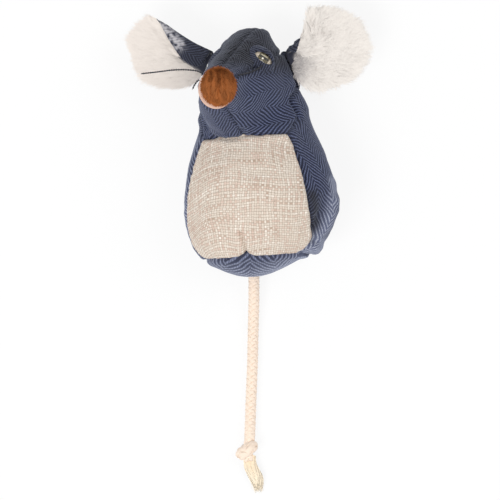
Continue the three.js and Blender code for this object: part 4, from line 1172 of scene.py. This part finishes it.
# %% Nose
NOSE_STRETCH = (0.9, 0.99, 1)  # the photograph's nose is a little higher than wide
NOSE_HEIGHT = 3.2  # mm
PILE_COUNT = 9000
PARTING = 1.3  # mm right of the middle
nose_low, nose_high = cad_corners("nose_patch")
nose_at = np.array([*(nose_low + nose_high)[:2] / 2, nose_low[2]])
nose_radius = (nose_high[0] - nose_low[0]) / 2
patch = 0.93 * nose_radius
pile_at = nose_at + [0.4, 0.3, 0]


def nose_rise(share):
    """How high the dome is at a share of its radius, in mm"""
    return 0.9 + NOSE_HEIGHT * np.sqrt(np.clip(1 - np.asarray(share, float) ** 2.4, 0, 1))


dome = [(patch * share, float(nose_rise(share)))
        for share in (1.0, 0.99, 0.97, 0.93, 0.87, 0.8, 0.7, 0.6, 0.48, 0.36, 0.24, 0.12, 0.02)]
nose = turned("nose_cushion", [(patch - 0.6, 0.1), (patch, 0.5)] + dome, pile_at, (0, 0, 1), stretch=NOSE_STRETCH)
nose_rim = turned("nose_cut_edge", [
    (nose_radius - 1.9, -0.2), (nose_radius - 0.3, -0.25), (nose_radius + 0.05, 0.1), (nose_radius, 0.8),
    (nose_radius - 0.4, 1.1), (nose_radius - 1.9, 1.0)], nose_at + [-0.6, -0.8, 0], (0, 0, 1),
    stretch=NOSE_STRETCH)
rng = np.random.default_rng(41)
share = rng.random(PILE_COUNT) ** 0.44
turn = rng.random(PILE_COUNT) * 2 * np.pi
radial = np.stack([np.cos(turn), np.sin(turn)], axis=1)
flat = np.column_stack([radial * (share * patch)[:, None], np.ones(PILE_COUNT)])
roots = pile_at + np.column_stack([flat[:, :2] * NOSE_STRETCH[:2], nose_rise(share)])
slope = 1.2 * NOSE_HEIGHT * share ** 1.4 / np.sqrt(np.clip(1 - share ** 2.4, 0.02, 1)) / patch
ups = unit(np.column_stack([radial * slope[:, None], np.ones(PILE_COUNT)]))
rim = share ** 3
parted = np.tanh((flat[:, 0] - PARTING) / 0.9) * np.clip((flat[:, 1] + 2.5) / 3, 0, 1) * (1 - rim)
short = (1 - 0.2 * rim) * (1 - 0.2 * rim * np.clip(-radial @ np.array([0.7, 0.7]), 0, 1))
down = np.clip((0.8 - flat[:, 1] / patch) / 0.7, 0.5, 1)  # the pile stands up a little more at its top
lay = np.column_stack([0.9 * parted * down + 0.8 * uneven(flat, (0.55, 0.25, 3.0)), -1.0 * down,
                       np.zeros(PILE_COUNT)])
sway = np.column_stack([1.5 * uneven(flat, (0.12, 0.55, 5.0)), np.zeros((PILE_COUNT, 2))])
ways = unit(0.7 * ups + lay * (1 - 0.85 * rim)[:, None] + 0.14 * rng.normal(size=(PILE_COUNT, 3)))
nose_pile = fibres_of("nose_plush_pile", roots, ways, unit(ups + [0, 0, 1.5]),
                      rng.uniform(1.0, 2.1, PILE_COUNT) * short, 0.26, np.tile([0, -0.1, -0.2], (PILE_COUNT, 1)), 3,
                      0.85 * (1 - rim) * (0.15 + 0.85 * down), 110, 42, nearness=(1, 0.27, 0.4),
                      apart=(0.1, 0.8, 0.6), sway=sway)
print("nose", round(2 * nose_radius, 1), "mm across,", PILE_COUNT, "fibres")

# %% [markdown]
# Under its pile the plush is a knitted backing dyed the same rust brown. Where it was cut, the undyed
# inside of the knit shows, pale and a little pink.

# %% Nose materials
plush_cushion = mottled("plush_backing_rust_brown", 700.0, 4.0, "#854018", "#A9612C", 0.95, 0.9, 0.0003,
                        Sheen_Weight=0.3)
cut_edge = mottled("knitted_backing_cut_edge", 1200.0, 3.0, "#CB9C84", "#EACDBF", 0.9, 0.9, 0.0003)
for part, material in ((nose, plush_cushion), (nose_rim, cut_edge), (nose_pile, plush_rust)):
    dress(part, material, "stuffed_body")
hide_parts("nose_patch")
print("nose pieces dressed")

# %% [markdown]
# ## The eyes
#
# These are moulded safety eyes: a clear acrylic dome over a gold disc with a dark slit for a pupil, on a post that a
# washer locks behind the cloth. Clear acrylic bends light a little less than window glass (an index of 1.49). Light
# has to reach the gold through it, so it lets shadow rays pass. The disc is a foil print, pale at the ends of the slit
# and olive beside it, with fine rays, and it also carries a painted reflection streak over the slit and a painted
# glint of a lamp.

# %% Eye materials
acrylic, tree, output = new_material("acrylic_clear_moulded")
marks = add(tree, "TexNoise", {"Scale": 260.0, "Detail": 2.0})
glass = add(tree, "BsdfPrincipled", {
    "Base Color": (1, 1, 1, 1), "Roughness": mapped(tree, marks, 0.4, 0.8, 0.02, 0.07), "IOR": 1.49,
    "Transmission Weight": 1.0})
shadow_ray = add(tree, "LightPath").outputs["Is Shadow Ray"]
either = add(tree, "MixShader", {0: shadow_ray, 1: glass, 2: add(tree, "BsdfTransparent")})
tree.links.new(either.outputs[0], output)

foil, tree, output = new_material("gold_foil_print_painted_glint")
across, along, _ = add(tree, "SeparateXYZ", {0: stored(tree, "eye")}).outputs


def oval(middle_across, middle_along, half_across, half_along):
    """Under 1 within an oval of the eye's face, in mm"""
    parts = [maths(tree, "POWER", maths(tree, "DIVIDE", maths(tree, "SUBTRACT", place, middle), half), 2.0)
             for place, middle, half in ((across, middle_across, half_across), (along, middle_along, half_along))]
    return maths(tree, "ADD", *parts)


rays = add(tree, "TexNoise", {"W": maths(tree, "ARCTAN2", along, across), "Scale": 14.0, "Detail": 3.0},
           noise_dimensions="1D")
tone = mix(tree, rays, "#2F2814", "#665A36")
for shape, start, end, amounts, code in (
        ((0, 0, 2.45, 6.0), 0.9, 1.15, (0.0, 1.0), "#C6B8A4"),  # pale outside the iris
        ((-0.2, 0.78, 1.7, 0.36), 0.6, 1.3, (1.0, 0.0), "#B0A88E"),  # painted reflection: a lit streak over the slit
        ((0.1, 0.05, 2.3, 0.55), 0.8, 1.3, (1.0, 0.0), "#15120B"),  # the slit
        ((-0.25, -0.42, 0.42, 0.34), 0.7, 1.2, (1.0, 0.0), "#F6F1E2")):  # painted highlight: a glint
    tone = mix(tree, mapped(tree, oval(*shape), start, end, *amounts, kind="SMOOTHSTEP"), tone, code)
shader = add(tree, "BsdfPrincipled", {"Base Color": tone, "Metallic": 0.35, "Roughness": 0.38})
tree.links.new(shader.outputs[0], output)
nylon = mottled("nylon_black_moulded", 1500.0, 2.0, "#141416", "#232327", 0.5, 0.2, 0.0001, IOR=1.53)
print("foil print", len(tree.nodes), "nodes")

# %% [markdown]
# Each eye is turned round its own axis, as its mould is: the dome, and the disc that rises under it like a
# shallow bowl upside down, with its post behind. The slit lies where the photograph has it, seen from
# straight above. The left eye is on the hidden side of the head, so its place is a guess.

# %% Eyes
EYES = {  # the way it looks, the slit's way, dome height and width against the CAD's, the middle moved by, mm
    "left": ((-0.838, 0.545, 0.1), (0.545, 0.838, 0), 0.5, 0.9, (1.5, -1.0, -0.1)),
    "right": ((0.42, 0.30, 0.86), (0.84, -0.545, -0.22), 1.0, 1.15, (-1.9, -1.95, 0.9)),
}
# shares of the disc's radius, from its edge to its middle
BOWL = (0.99, 0.97, 0.93, 0.87, 0.8, 0.7, 0.6, 0.5, 0.4, 0.3, 0.2, 0.1, 0.02)
eyes = {}
for side, (faces_to, slit_way, higher, wider, moved_by) in EYES.items():
    dome_points, disc_points = (cad_mesh(side + end)[0] for end in ("_eye_dome", "_eye_iris"))
    cad_axis = unit(dome_points.mean(0) - disc_points.mean(0))
    heights = (dome_points - dome_points.mean(0)) @ cad_axis
    radius = wider * np.linalg.norm(dome_points - dome_points.mean(0) - heights[:, None] * cad_axis, axis=1).max()
    foot, axis, slit_way = dome_points.mean(0) + moved_by, unit(faces_to), np.array(slit_way)
    low, high = heights.min(), heights.min() + higher * (heights.max() - heights.min())
    lens = [(radius - 0.12, low), (radius, low + 0.12), (radius, low + 0.38)] + [
        (radius * math.cos(t), low + 0.4 + (high - low - 0.4) * math.sin(t)) for t in np.linspace(0.08, 1.55, 12)]
    dome = turned(side + "_eye_lens", lens, foot, axis, 72)
    dress(dome, acrylic, "stuffed_body")
    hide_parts(side + "_eye_dome")
    edge = radius - 0.2
    disc = [(1.3, low - 4.0), (1.3, low - 0.72), (edge - 0.1, low - 0.7), (edge, low - 0.6), (edge, low - 0.13)] + [
        (edge * share, low - 0.05 + (high - low - 0.5) * math.sqrt(1 - share ** 2)) for share in BOWL]
    iris = turned(side + "_eye_disc", disc, foot, axis, 72)
    printed, faced = foot, axis
    if side == "right":
        printed, faced = np.array([*place_of((263.6, 58.7)), 0]), np.array([0, 0, 1.0])
    offset = read(iris.data, "co") - printed
    print_long = unit(slit_way - (slit_way @ faced) * faced)
    store(iris, "eye", np.stack([offset @ print_long, offset @ np.cross(faced, print_long), offset @ faced], axis=1))
    dress(iris, foil, "stuffed_body")
    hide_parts(side + "_eye_iris")
    washer = frame["nodes"][side + "_eye_washer"]
    washer.data.materials.clear()
    washer.data.materials.append(nylon)
    eyes[side] = dict(foot=foot, axis=axis, radius=radius, top=high, low=low,
                      long=unit(slit_way - (slit_way @ axis) * axis))
    print(side, "eye", round(2 * radius, 1), "mm, facing", axis.round(2))

# %% [markdown]
# The cloth round each eye is drawn over the rim of its dome, above and below, as lids are, so that only a
# pointed slot of the eye shows. A ring of cloth makes the lids: its outer edge dips under the forehead
# cloth, and its inner edge is that slot, resting on the dome.

# %% Eyelids
LID_CLOTH = 0.35  # mm thick
LID_LIFT = 0.28  # mm that the lid's outside lies over the dome
RINGS, AROUND = 14, 96
head_tree = BVHTree.FromPolygons(*[part.tolist() for part in cad_mesh(
    "left_forehead_panel", "right_forehead_panel", "left_cheek_panel", "right_cheek_panel")])


def lids(name, eye, half_long, half_high, reach_out):
    """A ring of cloth round an eye, in mm, with an almond opening"""
    axis, long, radius = eye["axis"], eye["long"], eye["radius"]
    high = np.cross(axis, long)
    turn = np.arange(AROUND) / AROUND * 2 * np.pi
    inner = np.stack([half_long * np.cos(turn),
                      half_high * np.sign(np.sin(turn)) * np.abs(np.sin(turn)) ** 1.25], axis=1)
    outer = reach_out * np.stack([np.cos(turn), np.sin(turn)], axis=1)
    points, flat = [], []
    for k in range(RINGS + 1):
        share = k / RINGS
        spot = inner * (1 - share) + outer * share
        away = np.linalg.norm(spot, axis=1)
        round_off = np.sqrt(1 - np.clip(away / radius, 0, 0.999) ** 2)
        on_dome = eye["low"] + 0.4 + (eye["top"] - eye["low"] - 0.4) * round_off + LID_LIFT
        ground = []
        for x, y in spot:
            start = eye["foot"] + x * long + y * high + 9 * axis
            hit = head_tree.ray_cast(Vector(start), Vector(-axis), 18)
            ground.append(9 - hit[3] if hit[0] is not None else eye["low"] - 2)
        over = np.clip(1 - (away - radius) / 2.2, 0, 1)
        over = over * over * (3 - 2 * over)
        lift = np.maximum(on_dome * over + np.array(ground) * (1 - over), ground)
        lift = lift + LID_LIFT * math.sin(math.pi * min(share * 1.6, 1)) - 1.1 * max(0, share - 0.72) / 0.28
        if k == 0:
            lift = lift - 0.25
        points.append(eye["foot"] + spot[:, :1] * long + spot[:, 1:] * high + lift[:, None] * axis)
        flat.append(np.column_stack([spot @ np.array([[0.8, 0.6], [-0.6, 0.8]]), np.full(AROUND, 93.0)]))
    points = np.vstack(points)
    return piece_of(name, points, tube_faces(RINGS + 1, AROUND, capped=False), cloth=np.vstack(flat),
                    look=np.tile([0.6, 0.0, 0.0], (len(points), 1)))


for side, half_long, half_high, reach_out in (("right", 4.5, 2.4, 7.4), ("left", 3.5, 1.5, 6.0)):
    ring = lids(side + "_eye_lids", eyes[side], half_long, half_high, reach_out)
    dress(ring, tweed, "stuffed_body")
    thicken(ring, LID_CLOTH)
    print(ring.name, len(ring.data.polygons), "faces")

# %% [markdown]
# ## The whiskers
#
# The whiskers are waxed black thread, two plies twisted together, 0.7 mm thick. Two stand out on the left
# of the snout, and one lies on the cloth from the nose towards the right eye. Each is drawn as two fine
# tubes that wind round each other along the middle line of its CAD thread.

# %% Whiskers
THREAD_WIDTH, THREAD_TURN = 0.72, 2.2  # mm across, and mm along for one turn
waxed = mottled("thread_black_waxed_twisted", 3.0, 3.0, "#15151A", "#34343C", 0.55, 0.3, 0.00005, run=True, IOR=1.45)


def thread_along(name, line, sides=7):
    """Two plies of thread twisted along a line, in mm, thinner towards its end"""
    length = length_of(line)
    steps = int(length / THREAD_TURN * 14) + 4
    fine = smooth_line(line, steps + 1)
    side, up = sideways(fine, (0, 1, 0.2))
    along = np.linspace(0, length, steps + 1)
    ring = np.arange(sides) / sides * 2 * np.pi
    thin = np.clip(np.minimum(1.0, (length - along) / 1.2 + 0.25), 0, 1)
    points, faces, runs = [], [], []
    for ply in (0, 1):
        turn = 2 * np.pi * along / THREAD_TURN + ply * np.pi
        middle = fine + 0.25 * THREAD_WIDTH * (np.cos(turn)[:, None] * side + np.sin(turn)[:, None] * up)
        loop = middle[:, None] + 0.28 * THREAD_WIDTH * thin[:, None, None] * (
            np.cos(ring)[None, :, None] * side[:, None] + np.sin(ring)[None, :, None] * up[:, None])
        points.append(loop.reshape(-1, 3))
        runs.append(np.stack([np.repeat(along, sides), np.tile(ring, steps + 1),
                              np.full((steps + 1) * sides, ply * 5.0)], axis=1))
        faces += tube_faces(steps + 1, sides, ply * (steps + 1) * sides)
    return piece_of(name, np.vstack(points), faces, run=np.vstack(runs))


CAD_SIDES = 6  # points round the CAD's thread
for name in ("left_long_whisker", "left_short_whisker", "right_whisker"):
    points, _ = cad_mesh(name)
    offset = points - points.mean(0)
    order = np.argsort(offset @ np.linalg.svd(offset, full_matrices=False)[2][0])
    line = np.array([points[order[i:i + CAD_SIDES]].mean(0)
                     for i in range(0, len(order) - CAD_SIDES + 1, CAD_SIDES)])
    if np.linalg.norm(line[0] - nose_at) > np.linalg.norm(line[-1] - nose_at):
        line = line[::-1]
    whisker = thread_along(name.replace("whisker", "thread"), line)
    dress(whisker, waxed, "stuffed_body")
    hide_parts(name)
    print(whisker.name, round(length_of(line), 1), "mm")

# %% [markdown]
# ## What is inside
#
# The toy is filled with loose polyester wadding, closed with a last wad at the base, round a small muslin
# pouch of dried catnip. None of it shows, but it is there, so it gets its own form and finish.

# %% Filling materials
wadding = mottled("polyester_wadding_loose", 420.0, 5.0, "#E4E2DF", "#FBFAF8", 1.0, 1.0, 0.0008, distortion=1.5)

muslin, tree, output = new_material("cotton_muslin_plain_weave")
place = add(tree, "TexCoord").outputs["Object"]
crossed = maths(tree, "MULTIPLY", *[
    add(tree, "TexWave", {"Vector": place, "Scale": 650.0, "Distortion": 1.0}, bands_direction=way) for way in "XY"])
surface(tree, output, mix(tree, crossed, "#CDBFA6", "#EDE5D4"), 0.9, (crossed, 0.5, 0.0002))

leaf, tree, output = new_material("catnip_dried_crumbled")
crumbs = add(tree, "TexVoronoi", {"Vector": add(tree, "TexCoord").outputs["Object"], "Scale": 900.0}).outputs
surface(tree, output, mix(tree, crumbs["Color"], "#5C6240", "#9A9766"), 0.95, (crumbs["Distance"], 1.0, 0.0006))
print("leaf", len(tree.nodes), "nodes")

# %% [markdown]
# The CAD pieces are remeshed and made lumpy by a noise, and drawn in a little, so that they stay clear of
# the seams. The rope's stop knot, which keeps it from pulling out, is made the same way.

# %% Fillings
INSIDE = [  # new name, CAD node, material, slot, voxel, drawn in, lumps
    ("body_wadding", "body_stuffing", wadding, "polyester_filling", 1.6, 3.0, 0.5),
    ("head_wadding", "head_stuffing", wadding, "polyester_filling", 1.3, 3.0, 0.4),
    ("base_closing_wad", "base_wad", wadding, "polyester_filling", 1.2, 0.3, 0.3),
    ("catnip_muslin_pouch", "catnip_pouch", muslin, "pouch_muslin", 0.6, 0.05, 0.15),
    ("catnip_crumbs", "catnip_leaf", leaf, "dried_catnip", 0.7, 0.3, 0.45),
    ("tail_stop_knot", "tail_anchor", cotton, "cotton_rope", 0.4, 0.45, 0.1),
]
fillings = {}
for name, node, material, slot, voxel, drawn_in, lumps in INSIDE:
    points, faces = fine_mesh(node, voxel, 4)
    bumps = uneven(points, 0.35)
    points = points + (lumps * bumps - drawn_in - 0.3 * lumps)[:, None] * normals_of(points, faces)
    fillings[name] = piece_of(name, points, faces, run=points, shade=0.5 + bumps)
    dress(fillings[name], material, "stuffed_body")
    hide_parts(node)
    print(name, len(faces), "faces")

# %% [markdown]
# ## Floor and light
#
# The photograph has a plain white ground. The floor is white, and to the camera, and in gloss and glass,
# it shines a little by itself, so that it looks white without more light on the toy; the toy's soft
# shadow stays on it. The light is even: a white surrounding, a broad lamp above to the lower left and a
# weaker one to the right. Together they show a colour about as it is written.

# %% Floor and light
def seen_straight(tree):
    """1 for a ray from the camera, or one that gloss or glass sends on"""
    path = add(tree, "LightPath").outputs
    seen = maths(tree, "MAXIMUM", path["Is Camera Ray"], path["Is Glossy Ray"])
    return maths(tree, "MAXIMUM", seen, path["Is Transmission Ray"])


ground, tree, output = new_material("floor_white_matt")
share = maths(tree, "MULTIPLY", seen_straight(tree), 0.86)
matt = add(tree, "BsdfDiffuse", {"Color": linear("#F6F6F6")})
shine = add(tree, "Emission", {"Color": (1, 1, 1, 1), "Strength": 1.0})
tree.links.new(add(tree, "MixShader", {0: share, 1: matt, 2: shine}).outputs[0], output)
REACH, DROP = 6000, -0.02  # mm from the middle to a side, and just under the toy
floor = piece_of("floor", [(-REACH, -REACH, DROP), (REACH, -REACH, DROP), (REACH, REACH, DROP), (-REACH, REACH, DROP)],
                 [(0, 1, 2, 3)])
floor.data.materials.append(ground)

world = bpy.data.worlds.new("white_surround")
bpy.context.scene.world = world
world.use_nodes = True
tree = world.node_tree
tree.nodes.clear()
plain, light = (add(tree, "Background", {"Color": (1, 1, 1, 1), "Strength": level}) for level in (1.0, 0.53))
both = add(tree, "MixShader", {0: seen_straight(tree), 1: light, 2: plain})
tree.links.new(both.outputs[0], add(tree, "OutputWorld").inputs["Surface"])

for name, place, power, size in (("key", (-0.75, -0.75, 1.7), 20.5, 0.9), ("fill", (1.1, 0.4, 1.6), 10, 1.2)):
    lamp = bpy.data.lights.new(name, "AREA")
    lamp.energy, lamp.size = power, size
    holder = bpy.data.objects.new(name, lamp)
    holder.location = place
    holder.rotation_euler = (Vector((0, 0, 0.03)) - holder.location).to_track_quat("-Z", "Y").to_euler()
    holder.visible_camera = False
    bpy.context.collection.objects.link(holder)
    print(name, "lamp", power, "W,", size, "m wide")
bpy.context.scene.view_settings.view_transform = "Standard"

# %% [markdown]
# ## Measure the ears' cloth
#
# The ears' layers are measured: how wide and long each one lies, and the size of flat cloth it was cut from, with the
# folded flap counted too.

# %% Measure the ears' cloth
def one_side(piece):
    """The area of one side of a thin closed piece, in square metres"""
    return sum(face.area for face in piece.data.polygons) / 2


for ear in EARS.values():
    for layer in (ear["piece"], ear["pile"]):
        offset = read(layer.data, "co") - ear["root"]
        spread = np.stack([offset @ ear["rising"], offset @ ear["outward"]], axis=1)
        wide, long = spread.max(0) - spread.min(0)
        area = one_side(layer)
        flat = (max(wide, 1.05 * area / MM ** 2 / long), long)  # the folded flap counts too
        print(layer.name, "cut from", np.round(flat, 1), "mm,", round(area * 1e4, 1), "cm2")
